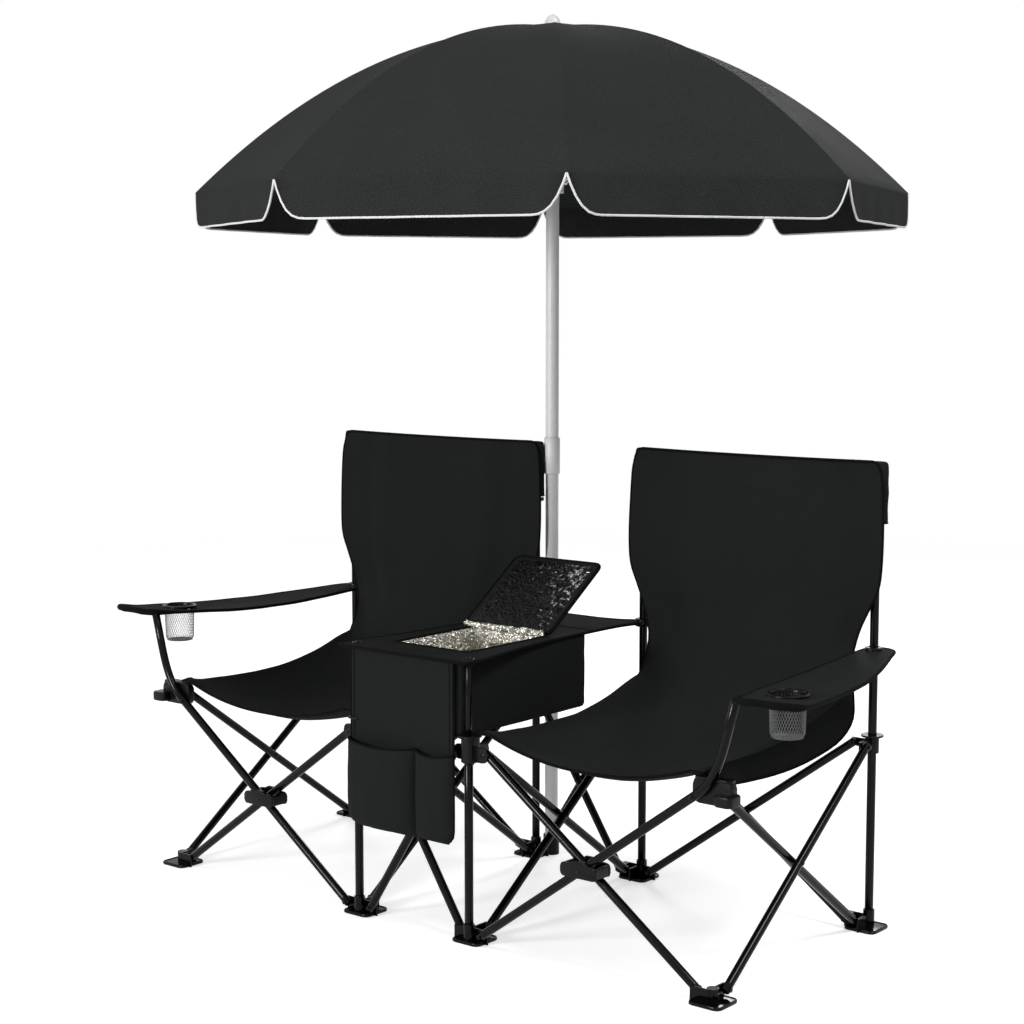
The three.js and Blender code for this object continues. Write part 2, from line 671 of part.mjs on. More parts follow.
// A closed sheet of even thickness through a grid of places, thickened along its normals
function sheet(grid, thickness) {
  const [rowsCount, columns] = [grid.length, grid[0].length];
  const held = (k, count) => Math.min(Math.max(k, 0), count - 1);
  const at = (r, c) => grid[held(r, rowsCount)][held(c, columns)];
  const faces = [[], []];
  for (let r = 0; r < rowsCount; r += 1) {
    for (let c = 0; c < columns; c += 1) {
      const down = at(r + 1, c).clone().sub(at(r - 1, c));
      const across = at(r, c + 1).clone().sub(at(r, c - 1));
      const normal = across.cross(down).normalize();
      faces[0].push(at(r, c).clone().addScaledVector(normal, thickness / 2));
      faces[1].push(at(r, c).clone().addScaledVector(normal, -thickness / 2));
    }
  }
  const count = rowsCount * columns;
  const index = [];
  const quad = (a, b, c, d) => index.push(a, c, b, a, d, c);
  const id = (layer, r, c) => layer * count + r * columns + c;
  for (let r = 0; r < rowsCount - 1; r += 1) {
    for (let c = 0; c < columns - 1; c += 1) {
      quad(id(0, r, c), id(0, r + 1, c), id(0, r + 1, c + 1), id(0, r, c + 1));
      quad(id(1, r, c), id(1, r, c + 1), id(1, r + 1, c + 1), id(1, r + 1, c));
    }
    quad(id(0, r, 0), id(1, r, 0), id(1, r + 1, 0), id(0, r + 1, 0));
    const end = columns - 1;
    quad(id(0, r, end), id(0, r + 1, end), id(1, r + 1, end), id(1, r, end));
  }
  for (let c = 0; c < columns - 1; c += 1) {
    quad(id(0, 0, c), id(0, 0, c + 1), id(1, 0, c + 1), id(1, 0, c));
    const last = rowsCount - 1;
    quad(id(0, last, c), id(1, last, c), id(1, last, c + 1), id(0, last, c + 1));
  }
  return indexedSolid([...faces[0], ...faces[1]], index);
}

function indexedSolid(points, index) {
  const geometry = new THREE.BufferGeometry().setFromPoints(points);
  geometry.setIndex(index);
  return solid(geometry);
}

// Where the sling's cloth lies, for one station and one share of its half width
function slingPlace(centreX, station, share) {
  const reach = Math.abs(share);
  const halfWidth = station.width * chairPitch;
  const crest = new THREE.Vector3(0, station.crestY * footDepth, station.crestZ * slingTop);
  const centre = new THREE.Vector3(0, station.centreY * footDepth, station.centreZ * slingTop);
  const place = centre.clone().lerp(crest, Math.min(reach / slingCrestShare, 1) ** slingSagPower);
  if (reach > slingCrestShare) {
    const over = (reach - slingCrestShare) / (1 - slingCrestShare);
    place.z = THREE.MathUtils.lerp(crest.z, station.edgeZ * slingTop, over);
  }
  place.x = centreX + share * halfWidth;
  return place;
}

// A pocket of cloth round the top of a leg, closed above it
function legSleeve(row) {
  const oval = (grow) => circlePoints(1, roundSides).map((p) => new THREE.Vector2(
    row.x + p.x * (sleeveWidth / 2 + grow),
    legY - clothThickness / 2 + p.y * (sleeveDepth / 2 + grow)));
  return plate(oval(0), sleeveBottom, slingTop)
    .subtract(plate(oval(-clothThickness), sleeveBottom - overrun, slingTop - clothThickness));
}

function addSling(name, outer, inner) {
  const centreX = (outer.x + inner.x) / 2;
  const grid = slingStationShares.map((station) =>
    slingColumnShares.map((share) => slingPlace(centreX, station, share)));
  const cloth = sheet(grid, clothThickness);
  addPart(`sling_${name}`, join(cloth, legSleeve(outer), legSleeve(inner)), blackCloth);
}

// Armrest: a slack pad from a ring on the rear leg to the bent tube, with a net cup hung in it
function addArmrest(name, outer) {
  const outward = Math.sign(outer.x);
  const middleZ = armrestBottom + armrestThickness / 2;
  const columns = outward < 0 ? [...armrestColumnShares].reverse() : armrestColumnShares;
  const grid = armrestStationShares.map(({ back, inner, outer: edge, sag }) => columns.map((share) =>
    new THREE.Vector3(outer.x + outward * THREE.MathUtils.lerp(inner, edge, share) * chairPitch,
      back * footDepth, middleZ - sag * armrestSag)));
  const leg = new THREE.Vector3(outer.x, legY, 0);
  const cup = new THREE.Vector3(outward * cupX, cupY, 0);
  const ringLow = middleZ - armrestRingHeight / 2;
  const cupTop = middleZ + armrestThickness / 2;
  const ringTop = ringLow + armrestRingHeight;
  const cupBar = (low, high, diameter) =>
    bar('z', cup, low, high, diameter - cupTaper, roundSides, diameter);
  const pad = join(
    sheet(grid, armrestThickness),
    bar('z', leg, ringLow, ringTop, armrestRingDiameter),
    cupBar(cupTop - cupDepth, cupTop, cupDiameter))
    .subtract(bar('z', leg, ringLow - overrun, ringTop + overrun, legBore))
    .subtract(cupBar(cupTop - cupDepth + cupWall, cupTop + overrun, cupDiameter - 2 * cupWall));
  addPart(`armrest_${name}`, pad, blackCloth);
}

function rectangle(x, y) {
  const corners = [[x[0], y[0]], [x[1], y[0]], [x[1], y[1]], [x[0], y[1]]];
  return corners.map(([a, b]) => new THREE.Vector2(a, b));
}

function addTable() {
  const half = tableEdgeShares.map(([x, y]) => [x * tableCornerX, y * footDepth]);
  const mirrored = half.map(([x, y]) => [-x, y]).reverse();
  const outline = [...half, ...mirrored].map(([x, y]) => new THREE.Vector2(x, y));
  const ringLow = tableHeight - (tableRingHeight - tableThickness) / 2;
  const ringTop = ringLow + tableRingHeight;
  const clothTop = tableHeight + tableThickness;
  const mouth = rectangle([mouthLeftX, mouthRightX], [mouthFrontY, mouthRearY]);
  let top = plate(outline, tableHeight, clothTop);
  for (const x of [-innerX, innerX]) {
    const leg = new THREE.Vector3(x, legY, 0);
    top = top.add(bar('z', leg, ringLow, ringTop, tableRingDiameter))
      .subtract(bar('z', leg, ringLow - overrun, ringTop + overrun, legBore));
  }
  const relief = umbrellaPoleDiameter + overrun;
  addPart('table_top', top
    .subtract(plate(mouth, tableHeight - overrun, clothTop + overrun))
    .subtract(bar('z', umbrellaAxis, ringLow - overrun, ringTop + overrun, relief)), blackCloth);
}

function addCooler() {
  const top = tableHeight - seatGap;
  const walls = (inset, low, high) => block(
    [inset - coolerHalfWidth, coolerHalfWidth - inset],
    [coolerFrontY + inset, coolerRearY - inset],
    [low, high]);
  const room = walls(coolerWall, coolerBottom + coolerWall, top + overrun);
  addPart('cooler', walls(0, coolerBottom, top).subtract(room), silverFoil);
}

// The lid stands open, hinged along the rear edge of the cooler's mouth
function addLid() {
  const outline = clippedRectangle(lidMiddleX, lidLength / 2, lidHalfWidth, lidLength / 2, jointCorner);
  const shape = plate(outline, -lidThickness / 2, lidThickness / 2);
  const hinge = [0, mouthRearY + lidSetback, tableHeight + tableThickness + seatGap + lidThickness / 2];
  addPart('cooler_lid', shape.rotate([lidLean, 0, 0]).translate(hinge), blackCloth);
}

// One pocket seen from above: a bulging front wall whose ends meet the panel
function pocketOutline(fromX, toX, depth) {
  const points = [];
  for (let k = 0; k <= pocketPoints; k += 1) {
    const share = k / pocketPoints;
    const out = depth * Math.sin(Math.PI * share) ** 0.5;
    const x = THREE.MathUtils.lerp(fromX, toX, share);
    points.push(new THREE.Vector2(x, pocketY - clothThickness / 2 - out));
  }
  return [...points, new THREE.Vector2(toX, pocketY), new THREE.Vector2(fromX, pocketY)];
}

function addPocketPanel() {
  const top = tableHeight - seatGap;
  const rear = pocketY + clothThickness / 2;
  const t = clothThickness;
  const [low, mouth] = [pocketBottomHeight, pocketMouthHeight];
  let panel = block([pocketLeftX, pocketRightX], [pocketY - t / 2, rear], [low, top]);
  const pockets = [
    [pocketLeftX, pocketSplitX, pocketWideDepth],
    [pocketSplitX, pocketRightX, pocketNarrowDepth],
  ];
  for (const [from, to, depth] of pockets) {
    const room = plate(pocketOutline(from + t, to - t, depth - t), low + t, mouth + overrun);
    const wall = plate(pocketOutline(from, to, depth), low, mouth);
    panel = panel.add(wall.subtract(room.translate([0, -seatGap, 0])));
  }
  addPart('pocket_panel', panel, blackCloth);
}

const umbrellaAt = (radius, angle, z) => new THREE.Vector3(
  umbrellaX + radius * Math.cos(angle), umbrellaY + radius * Math.sin(angle), z);
const ribAngle = (k) => THREE.MathUtils.degToRad(ribTurn) + (k / ribCount) * 2 * Math.PI;
const canopyHeightAt = (share) => canopyRim + (canopyTop - canopyRim) * (1 - share ** canopyPower);

// One ring of the canopy: a place on each rib and one halfway between, on the straight between them
function canopyRing(radius, z) {
  const points = [];
  for (let k = 0; k < ribCount; k += 1) {
    const [here, next] = [umbrellaAt(radius, ribAngle(k), z), umbrellaAt(radius, ribAngle(k + 1), z)];
    points.push(here, here.clone().lerp(next, 0.5));
  }
  return points;
}

// The canopy's cloth: dome and valance, with a small hole at the top for the finial's spindle
function addCanopy() {
  const t = clothThickness;
  const hole = canopyHoleDiameter / 2;
  const dome = canopyRingShares.map((share) => [share * canopyRadius, canopyHeightAt(share)]);
  const outer = [[hole, canopyTop], ...dome, [canopyRadius + valanceFlare, canopyRim - valanceDrop]];
  const [hem, rim, ...rest] = [...outer].reverse();
  const under = rest.map(([radius, z]) => [radius, z - t]);
  const inner = [[hem[0] - t, hem[1]], [rim[0] - t, rim[1] - t], ...under];
  const rings = [...outer, ...inner].map(([radius, z]) => canopyRing(radius, z));
  const columns = rings[0].length;
  const index = [];
  for (let r = 0; r < rings.length; r += 1) {
    for (let c = 0; c < columns; c += 1) {
      const [a, b] = [r * columns + c, r * columns + ((c + 1) % columns)];
      const below = ((r + 1) % rings.length) * columns;
      index.push(a, below + c, below + ((c + 1) % columns), a, below + ((c + 1) % columns), b);
    }
  }
  addPart('umbrella_canopy', indexedSolid(rings.flat(), index), blackCloth);
}

function addRibs() {
  const [w, d] = [ribWidth / 2, ribDepth / 2];
  const ribLine = (share) => [share * canopyRadius, canopyHeightAt(share) - ribDrop(share)];
  const section = [[-d, -w], [d, -w], [d, w], [-d, w]].map(([x, y]) => new THREE.Vector2(x, y));
  const crownZ = ribHingeHeight();
  for (let k = 0; k < ribCount; k += 1) {
    const at = (radius, z) => umbrellaAt(radius, ribAngle(k), z);
    const outer = canopyRingShares.map((share) => at(...ribLine(share)));
    const [before, last] = outer.slice(-2);
    last.lerp(before, ribTipInset / last.distanceTo(before));
    const path = [at(ribHingeRadius - ribHingeLead, crownZ), ...outer];
    addPart(`umbrella_rib_${k + 1}`, sweep(path, section), greySteel);
  }
}

// How far a rib's middle line lies below the canopy's outer face, which falls away on both sides
function ribDrop(share) {
  const slope = (canopyTop - canopyRim) / canopyRadius * canopyPower * share ** (canopyPower - 1);
  const ridge = slope * Math.tan(Math.PI / ribCount) * ribWidth / 2;
  const hem = share < 1 ? 0 : slope * clothThickness;
  return clothThickness + hem + 2 * seatGap + ridge + Math.hypot(1, slope) * ribDepth / 2;
}

function ribHingeHeight() {
  const share = canopyRingShares[0];
  const slope = (canopyTop - canopyHeightAt(share)) / (share * canopyRadius - canopyHoleDiameter / 2);
  return canopyTop - slope * (ribHingeRadius - canopyHoleDiameter / 2) - ribDrop(share);
}

const poleBar = (low, high, diameter) =>
  bar('z', umbrellaAxis, low, high, diameter, umbrellaPoleSides);

function addUmbrellaPoles() {
  const bore = umbrellaPoleDiameter - 2 * umbrellaPoleWall;
  const seat = umbrellaPoleDiameter + 2 * slideGap;
  const socketDiameter = seat + 2 * umbrellaSocketWall;
  const half = footPlateWidth / 2 + seatGap;
  const foot = block([-innerX - half, -innerX + half], [footDepth - half, footDepth + half],
    [-overrun, footPlateThickness + seatGap]);
  addPart('umbrella_socket', poleBar(0, umbrellaSocketHeight, socketDiameter)
    .subtract(poleBar(umbrellaSocketFloor, umbrellaSocketHeight + overrun, seat))
    .subtract(foot), blackPlastic);

  const lowerBottom = umbrellaSocketFloor + seatGap;
  const lower = join(
    poleBar(lowerBottom, poleJoin, umbrellaPoleDiameter),
    poleBar(couplingBottom, couplingTop, couplingDiameter))
    .subtract(poleBar(lowerBottom - overrun, poleJoin + overrun, bore))
    .subtract(poleBar(poleJoin, couplingTop + overrun, seat));
  addPart('umbrella_lower_pole', lower, greySteel);

  const crownTop = canopyTop - clothThickness - seatGap - crownDrop;
  const finialBottom = canopyTop + finialLift;
  const dome = [new THREE.Vector2(0, finialBottom)];
  for (let k = 0; k <= pinSides; k += 1) {
    const turn = (k / pinSides) * Math.PI / 2;
    const [radius, rise] = [Math.cos(turn) * finialDiameter / 2, Math.sin(turn) * finialHeight];
    dome.push(new THREE.Vector2(radius, finialBottom + rise));
  }
  dome[dome.length - 1].x = 0;
  const finial = solid(new THREE.LatheGeometry(dome, umbrellaPoleSides).rotateX(Math.PI / 2)
    .translate(umbrellaX, umbrellaY, 0));
  const upper = join(
    poleBar(poleJoin + seatGap, crownTop, umbrellaPoleDiameter)
      .subtract(poleBar(poleJoin - overrun, crownTop - crownHeight, bore)),
    poleBar(crownTop - crownHeight, crownTop, crownDiameter),
    bar('z', umbrellaAxis, crownTop - overrun, finialBottom + overrun, spindleDiameter),
    finial);
  addPart('umbrella_upper_pole', upper, greySteel);
}

function addRunner() {
  const low = runnerTop - runnerHeight;
  const bore = umbrellaPoleDiameter + 2 * slideGap;
  addPart('umbrella_runner', poleBar(low, runnerTop, runnerDiameter)
    .subtract(poleBar(low - overrun, runnerTop + overrun, bore)), greyPlastic);

  const share = canopyRingShares[stretcherRing];
  const drop = ribDrop(share) + ribDepth + seatGap + stretcherDiameter / 2;
  const ringRadius = runnerDiameter / 2 + seatGap;
  const ringDepth = stretcherDiameter;
  const level = (low + runnerTop) / 2;
  const ring = (half, radius) =>
    bar('z', umbrellaAxis, level - half, level + half, 2 * radius, roundSides * 2);
  let wires = ring(ringDepth / 2, ringRadius + ringDepth).subtract(ring(ringDepth, ringRadius));
  for (let k = 0; k < ribCount; k += 1) {
    const from = umbrellaAt(ringRadius + ringDepth / 2, ribAngle(k), level);
    const to = umbrellaAt(share * canopyRadius, ribAngle(k), canopyHeightAt(share) - drop);
    wires = wires.add(sweep([from, to], circlePoints(stretcherDiameter / 2, stretcherSides)));
  }
  addPart('umbrella_stretchers', wires, greySteel);
}

const [leftOuter, leftInner, rightInner, rightOuter] = rows;
for (const row of rows) {
  addRearLeg(row);
  addRearSlider(row);
  addFrontFoot(row);
  addSideTubes(row);
}
for (const row of [leftInner, rightInner]) addInnerFrontJoint(row);
for (const row of [leftOuter, rightOuter]) addOuterFrontJoint(row);
for (const [name, outer, inner] of [['left', leftOuter, leftInner], ['right', rightOuter, rightInner]]) {
  addChairTubes(name, outer, inner);
  addSling(name, outer, inner);
  addArmrest(name, outer);
}
addCentreTubes();
addTable();
addCooler();
addLid();
addPocketPanel();
addUmbrellaPoles();
addCanopy();
addRibs();
addRunner();

// The origin is on the ground under the middle of the whole object
const box = new THREE.Box3().setFromObject(assembly);
const middle = box.getCenter(new THREE.Vector3());
assembly.position.set(-middle.x, -middle.y, -box.min.z);

export default assembly;
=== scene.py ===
"""Looks of a double camping chair with a table, a cooler and an umbrella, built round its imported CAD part.
Sizes are millimetres in the CAD part's working frame until a mesh is made."""
import json
import math

import bmesh
import bpy
import numpy as np
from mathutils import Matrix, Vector, noise


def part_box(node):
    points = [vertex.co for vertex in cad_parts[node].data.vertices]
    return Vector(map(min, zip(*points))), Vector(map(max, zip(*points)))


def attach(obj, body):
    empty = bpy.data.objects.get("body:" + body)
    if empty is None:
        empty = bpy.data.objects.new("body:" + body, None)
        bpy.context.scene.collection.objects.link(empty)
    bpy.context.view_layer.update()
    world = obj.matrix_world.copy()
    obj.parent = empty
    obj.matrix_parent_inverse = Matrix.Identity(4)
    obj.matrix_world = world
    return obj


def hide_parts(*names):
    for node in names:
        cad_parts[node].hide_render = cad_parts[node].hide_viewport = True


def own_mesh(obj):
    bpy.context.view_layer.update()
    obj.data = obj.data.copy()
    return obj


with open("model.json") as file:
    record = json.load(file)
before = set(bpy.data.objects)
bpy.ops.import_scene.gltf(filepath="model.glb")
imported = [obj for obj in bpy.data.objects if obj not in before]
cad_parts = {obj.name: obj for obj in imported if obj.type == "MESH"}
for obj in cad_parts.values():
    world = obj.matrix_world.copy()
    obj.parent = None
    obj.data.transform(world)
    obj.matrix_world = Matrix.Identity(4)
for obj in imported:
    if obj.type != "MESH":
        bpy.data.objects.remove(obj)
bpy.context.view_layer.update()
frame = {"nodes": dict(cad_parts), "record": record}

# Where the working frame's origin lies: the umbrella's pole stands on a known place in it
POLE_X, POLE_Y = -110, 542
pole_low, pole_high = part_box("umbrella_upper_pole")
SHIFT = np.array([
    (pole_low.x + pole_high.x) * 500 - POLE_X,
    (pole_low.y + pole_high.y) * 500 - POLE_Y, 0])
MM = 0.001

# Sizes shared with the CAD part
TUBE_R = 8
PITCH, GAP, DEPTH = 520, 274, 515
INNER_X, OUTER_X = GAP / 2, GAP / 2 + PITCH
PIVOT_IN, FOOT_Z, TOP_Z = 31, 18, 350
FRONT_NEAR, FRONT_FAR, SIDE_STEP = -18.25, -1.75, 8.25
REAR_FAR, REAR_NEAR = 507.5, 491.0
LEG_Y, POST_Y = 524, -16
PIVOT_FRONT_Y, PIVOT_REAR_Y = 28.5, 486.5
SLING_TOP = 873
TABLE_Z, TABLE_T = 520, 4
CANOPY_TOP, CANOPY_RIM, CANOPY_R, CANOPY_POWER = 1713, 1380, 727, 2.12
RIBS, FIRST_RIB = 8, math.radians(39.9)
ARM_TUBE_TOP = 522.4

# Sizes of the looks alone
TUBE_PAST_PIN, SKIN_LOW, SKIN_R, ROD_R = 7, 33, 8.15, 6.1
RIVET_R, RIVET_RISE = 4.2, 2.2


# materials
def new_material(name):
    material = bpy.data.materials.new(name)
    material.use_nodes = True
    return material, material.node_tree, material.node_tree.nodes["Principled BSDF"]


def fill(tree, n, **values):
    """Sets a node's settings and its inputs, which are named in_ and the socket's name or number"""
    for key, value in values.items():
        if not key.startswith("in_"):
            setattr(n, key, value)
            continue
        key = key[3:]
        socket = n.inputs[int(key) if key.isdigit() else key.replace("_", " ")]
        if isinstance(value, bpy.types.NodeSocket):
            tree.links.new(value, socket)
        else:
            socket.default_value = value
    return n


def node(tree, kind, **values):
    return fill(tree, tree.nodes.new(kind), **values)


def math_node(tree, operation, a, b, clamp=False):
    return node(tree, "ShaderNodeMath", operation=operation, use_clamp=clamp, in_0=a, in_1=b).outputs[0]


def ramp(tree, value, low, high, a, b):
    return node(tree, "ShaderNodeMapRange", in_1=low, in_2=high, in_3=a, in_4=b, in_0=value).outputs[0]


def noise_node(tree, where, scale, detail=4, roughness=0.55):
    n = node(tree, "ShaderNodeTexNoise", in_Scale=scale, in_Detail=detail, in_Roughness=roughness,
             in_Vector=where)
    return n.outputs["Fac"]


def colour_mix(tree, factor, dark, light):
    n = node(tree, "ShaderNodeMix", data_type="RGBA", in_6=(*dark, 1), in_7=(*light, 1), in_0=factor)
    return n.outputs[2]


def object_place(tree):
    return node(tree, "ShaderNodeTexCoord").outputs["Object"]


def bumped(tree, shader, steps):
    """Bumps one on another; each step is a height and its depth in metres"""
    normal = None
    for height, depth in steps:
        n = node(tree, "ShaderNodeBump", in_Strength=1.0, in_Distance=depth, in_Height=height)
        if normal:
            fill(tree, n, in_Normal=normal)
        normal = n.outputs[0]
    fill(tree, shader, in_Normal=normal)


def waves(tree, where, period, turn=0.0):
    """Straight bands with the period given, in metres, turned about Z"""
    turned = node(tree, "ShaderNodeMapping", in_Rotation=(0, 0, turn), in_Vector=where).outputs[0]
    n = node(tree, "ShaderNodeTexWave", wave_type="BANDS", bands_direction="X", wave_profile="SIN",
             in_Scale=math.pi / 10 / period, in_Vector=turned)
    return n.outputs["Fac"]


def cloth(name, dark, light, period, twill=False, roughness=0.85, depth=0.0004, gloss=0.025):
    """Woven cloth: threads along the sheet, fine fuzz and wide soft patches"""
    material, tree, shader = new_material(name)
    along = node(tree, "ShaderNodeUVMap", uv_map="cloth").outputs[0]
    place = object_place(tree)
    if twill:
        weave = waves(tree, along, period, math.radians(58))
        cross = waves(tree, along, period * 0.8, math.radians(-30))
        weave = math_node(tree, "MULTIPLY", math_node(tree, "ADD", weave, 0.35),
                          math_node(tree, "ADD", cross, 0.6))
    else:
        weave = math_node(tree, "MULTIPLY", waves(tree, along, period),
                          waves(tree, along, period, math.pi / 2))
    wide = noise_node(tree, place, 5, 3)
    fine = noise_node(tree, place, 900, 2)
    mixed = math_node(tree, "ADD", math_node(tree, "MULTIPLY", weave, 0.35),
                      math_node(tree, "MULTIPLY", fine, 0.3))
    mixed = math_node(tree, "ADD", mixed, math_node(tree, "MULTIPLY", wide, 0.5), True)
    fill(tree, shader, in_Base_Color=colour_mix(tree, mixed, dark, light),
         in_Roughness=ramp(tree, wide, 0.3, 0.7, roughness - 0.06, roughness + 0.08),
         in_Sheen_Weight=0.01, in_Sheen_Roughness=0.45, in_Specular_IOR_Level=gloss)
    bumped(tree, shader, [(noise_node(tree, place, 28, 3), 0.0012), (weave, depth)])
    return material


def hard_finish(tree, shader, mask, dark, light, rough, gloss, grain, edge, strength):
    """Colour, roughness, fine grain and softened edges of a hard surface"""
    softened = node(tree, "ShaderNodeBevel", samples=4, in_Radius=edge).outputs[0]
    bump = node(tree, "ShaderNodeBump", in_Strength=strength, in_Distance=0.0002, in_Height=grain,
                in_Normal=softened)
    fill(tree, shader, in_Base_Color=colour_mix(tree, mask, dark, light), in_Roughness=rough,
         in_Specular_IOR_Level=gloss, in_Normal=bump.outputs[0])


def coated_steel(name, dark, light, roughness, metallic=0.0, gloss=0.5):
    """Powder-coated tube: slight orange peel, rubbed lighter in places"""
    material, tree, shader = new_material(name)
    place = object_place(tree)
    rubbed = noise_node(tree, place, 14, 6, 0.7)
    fill(tree, shader, in_Metallic=metallic)
    hard_finish(tree, shader, ramp(tree, rubbed, 0.52, 0.8, 0, 1), dark, light,
                ramp(tree, rubbed, 0.3, 0.8, roughness, roughness + 0.1), gloss,
                noise_node(tree, place, 420, 2), 0.0012, 0.2)
    return material


def moulded(name, dark, light, roughness, gloss=0.5):
    """Moulded plastic: fine grain, softened edges"""
    material, tree, shader = new_material(name)
    place = object_place(tree)
    wide = noise_node(tree, place, 22, 4)
    hard_finish(tree, shader, wide, dark, light,
                ramp(tree, wide, 0.3, 0.7, roughness - 0.05, roughness + 0.1), gloss,
                noise_node(tree, place, 1500, 2), 0.002, 0.35)
    return material


def foil(name, colour, roughness=0.22, painted_glint_from=None):
    """Metal foil lining: sharp creases between small flats. With a place given, its colour is painted near
    black as a painted reflection of dark surroundings, and painted glints light its creases more and more
    from that place on, along X and Z"""
    material, tree, shader = new_material(name)
    place = object_place(tree)
    wander = node(tree, "ShaderNodeTexNoise", in_Scale=60, in_Detail=2, in_Vector=place).outputs["Color"]
    shrunk = node(tree, "ShaderNodeVectorMath", operation="SCALE", in_3=0.02, in_0=wander).outputs[0]
    bent = node(tree, "ShaderNodeVectorMath", operation="ADD", in_0=place, in_1=shrunk).outputs[0]
    large, small = [
        node(tree, "ShaderNodeTexVoronoi", feature="F1", in_Scale=scale, in_Vector=bent).outputs["Distance"]
        for scale in (150, 330)]
    tint = noise_node(tree, place, 40, 3)
    if painted_glint_from is None:
        base = colour_mix(tree, tint, [c * 0.85 for c in colour], colour)
    else:
        parts = node(tree, "ShaderNodeSeparateXYZ", in_0=place).outputs
        run = math_node(tree, "ADD", parts[0], parts[2])
        reach = ramp(tree, run, painted_glint_from, painted_glint_from + 0.16, 0, 1)
        painted_glint_noise = noise_node(tree, bent, 105, 3, 0.7)
        rare = ramp(tree, reach, 0, 1, 0.74, 0.52)
        painted_glint = math_node(tree, "MULTIPLY", math_node(tree, "SUBTRACT", painted_glint_noise, rare), 14, True)
        # painted reflection and painted glints: the colour runs from near black to bright by place and
        # noise, not by the lamps
        base = colour_mix(tree, painted_glint, [c * 0.02 for c in colour], colour)
    fill(tree, shader, in_Base_Color=base, in_Metallic=1,
         in_Roughness=ramp(tree, tint, 0.3, 0.7, roughness - 0.06, roughness + 0.12))
    bumped(tree, shader, [(large, 0.0034), (small, 0.0015)])
    return material


CLOTH = cloth("sling_cloth", (0.0085, 0.0093, 0.0091), (0.0185, 0.0202, 0.0197), 0.0026)
# painted shade: a darker copy of the sling's black cloth for the table's up-facing top, darkened to stand in
# for shade
SHADED_TOP_CLOTH = cloth("table_cloth_painted_shade", (0.0025, 0.0027, 0.0027), (0.0065, 0.007, 0.0069), 0.002)
CANOPY = cloth("canopy_cloth", (0.0075, 0.008, 0.0079), (0.034, 0.0365, 0.0355), 0.0042,
               twill=True, depth=0.0009)
BINDING = cloth("binding", (0.003, 0.0031, 0.0031), (0.008, 0.0083, 0.0082), 0.0016)
PIPING = cloth("piping", (0.62, 0.62, 0.6), (0.8, 0.8, 0.78), 0.002, gloss=0.3)
NET = cloth("net", (0.12, 0.123, 0.123), (0.22, 0.224, 0.224), 0.002, roughness=0.5, gloss=0.5)
STEEL = coated_steel("black_coat", (0.0022, 0.0022, 0.0024), (0.006, 0.006, 0.0064), 0.1, gloss=0.12)
PLASTIC = moulded("black_plastic", (0.0024, 0.0024, 0.0026), (0.005, 0.005, 0.0054), 0.26, 0.12)
GREY_COAT = coated_steel("grey_coat", (0.6, 0.605, 0.61), (0.68, 0.685, 0.69), 0.42, 0.05)
GREY_PLASTIC = moulded("grey_plastic", (0.6, 0.61, 0.62), (0.7, 0.71, 0.72), 0.45)
RIB_METAL = coated_steel("rib_metal", (0.5, 0.51, 0.52), (0.62, 0.63, 0.64), 0.3, 0.85)
FOIL = foil("silver_foil", (0.74, 0.72, 0.65))
# the lid's foil, with a painted dark reflection and painted glints in its colour
LID_FOIL_PAINTED_GLINTS = foil("lid_foil_painted_glints", (0.75, 0.75, 0.75), 0.3, painted_glint_from=0.53)
SLOTS = {"black_steel": STEEL, "black_plastic": PLASTIC, "black_cloth": CLOTH,
         "silver_foil": FOIL, "canopy_cloth": CANOPY, "grey_plastic": GREY_PLASTIC,
         "rib_metal": RIB_METAL, "grey_steel": GREY_COAT}
SLOT_FOR = {material.name: slot for slot, material in SLOTS.items()}
SLOT_FOR.update({SHADED_TOP_CLOTH.name: "black_cloth", NET.name: "black_cloth"})

slot_of = {part["node"]: part["material_slot"] for part in frame["record"]["subparts"]}
for cad_name, cad_object in frame["nodes"].items():
    wanted = SLOTS[slot_of[cad_name]]
    for material_slot in cad_object.material_slots:
        material_slot.material = wanted


# mesh making
class Mesh:
    """Gathers the pieces of one mesh, in the working frame"""

    def __init__(self):
        self.points, self.faces, self.finishes, self.uvs = [], [], [], []

    def add(self, points, faces, uvs=None, finish=0):
        start = len(self.points)
        points = [tuple(map(float, p)) for p in points]
        self.points += points
        self.faces += [[start + i for i in f] for f in faces]
        self.finishes += [finish] * len(faces)
        self.uvs += [tuple(map(float, uv)) for uv in uvs] if uvs is not None else [
            ((p[0] + p[1]) * MM, p[2] * MM) for p in points]
        return self

    def roll(self, path, radius=2.4, sides=8, **shape):
        """A rolled edge or a seam along a path, in the mesh's second material"""
        return self.add(*tube(path, radius, sides, **shape), finish=1)

    def build(self, name, materials, body, replaces=(), sharp=40):
        """An object of these pieces that rides on a CAD body, with edges sharp past the angle given"""
        mesh = bpy.data.meshes.new(name)
        points = (np.array(self.points) + SHIFT) * MM
        mesh.from_pydata([tuple(p) for p in points], [], self.faces)
        layer = mesh.uv_layers.new(name="cloth")
        corners = [self.uvs[i] for f in self.faces for i in f]
        layer.data.foreach_set("uv", np.array(corners, np.float32).ravel())
        for material in materials:
            mesh.materials.append(material)
        mesh.polygons.foreach_set("material_index", self.finishes)
        mesh.validate()
        bm = bmesh.new()
        bm.from_mesh(mesh)
        bmesh.ops.remove_doubles(bm, verts=bm.verts, dist=0.01 * MM)
        bmesh.ops.recalc_face_normals(bm, faces=bm.faces)
        bm.to_mesh(mesh)
        bm.free()
        mesh.polygons.foreach_set("use_smooth", [True] * len(mesh.polygons))
        mesh.set_sharp_from_angle(angle=math.radians(sharp))
        obj = bpy.data.objects.new(name, mesh)
        bpy.context.scene.collection.objects.link(obj)
        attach(obj, body)
        if replaces:
            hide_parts(*replaces)
        return obj


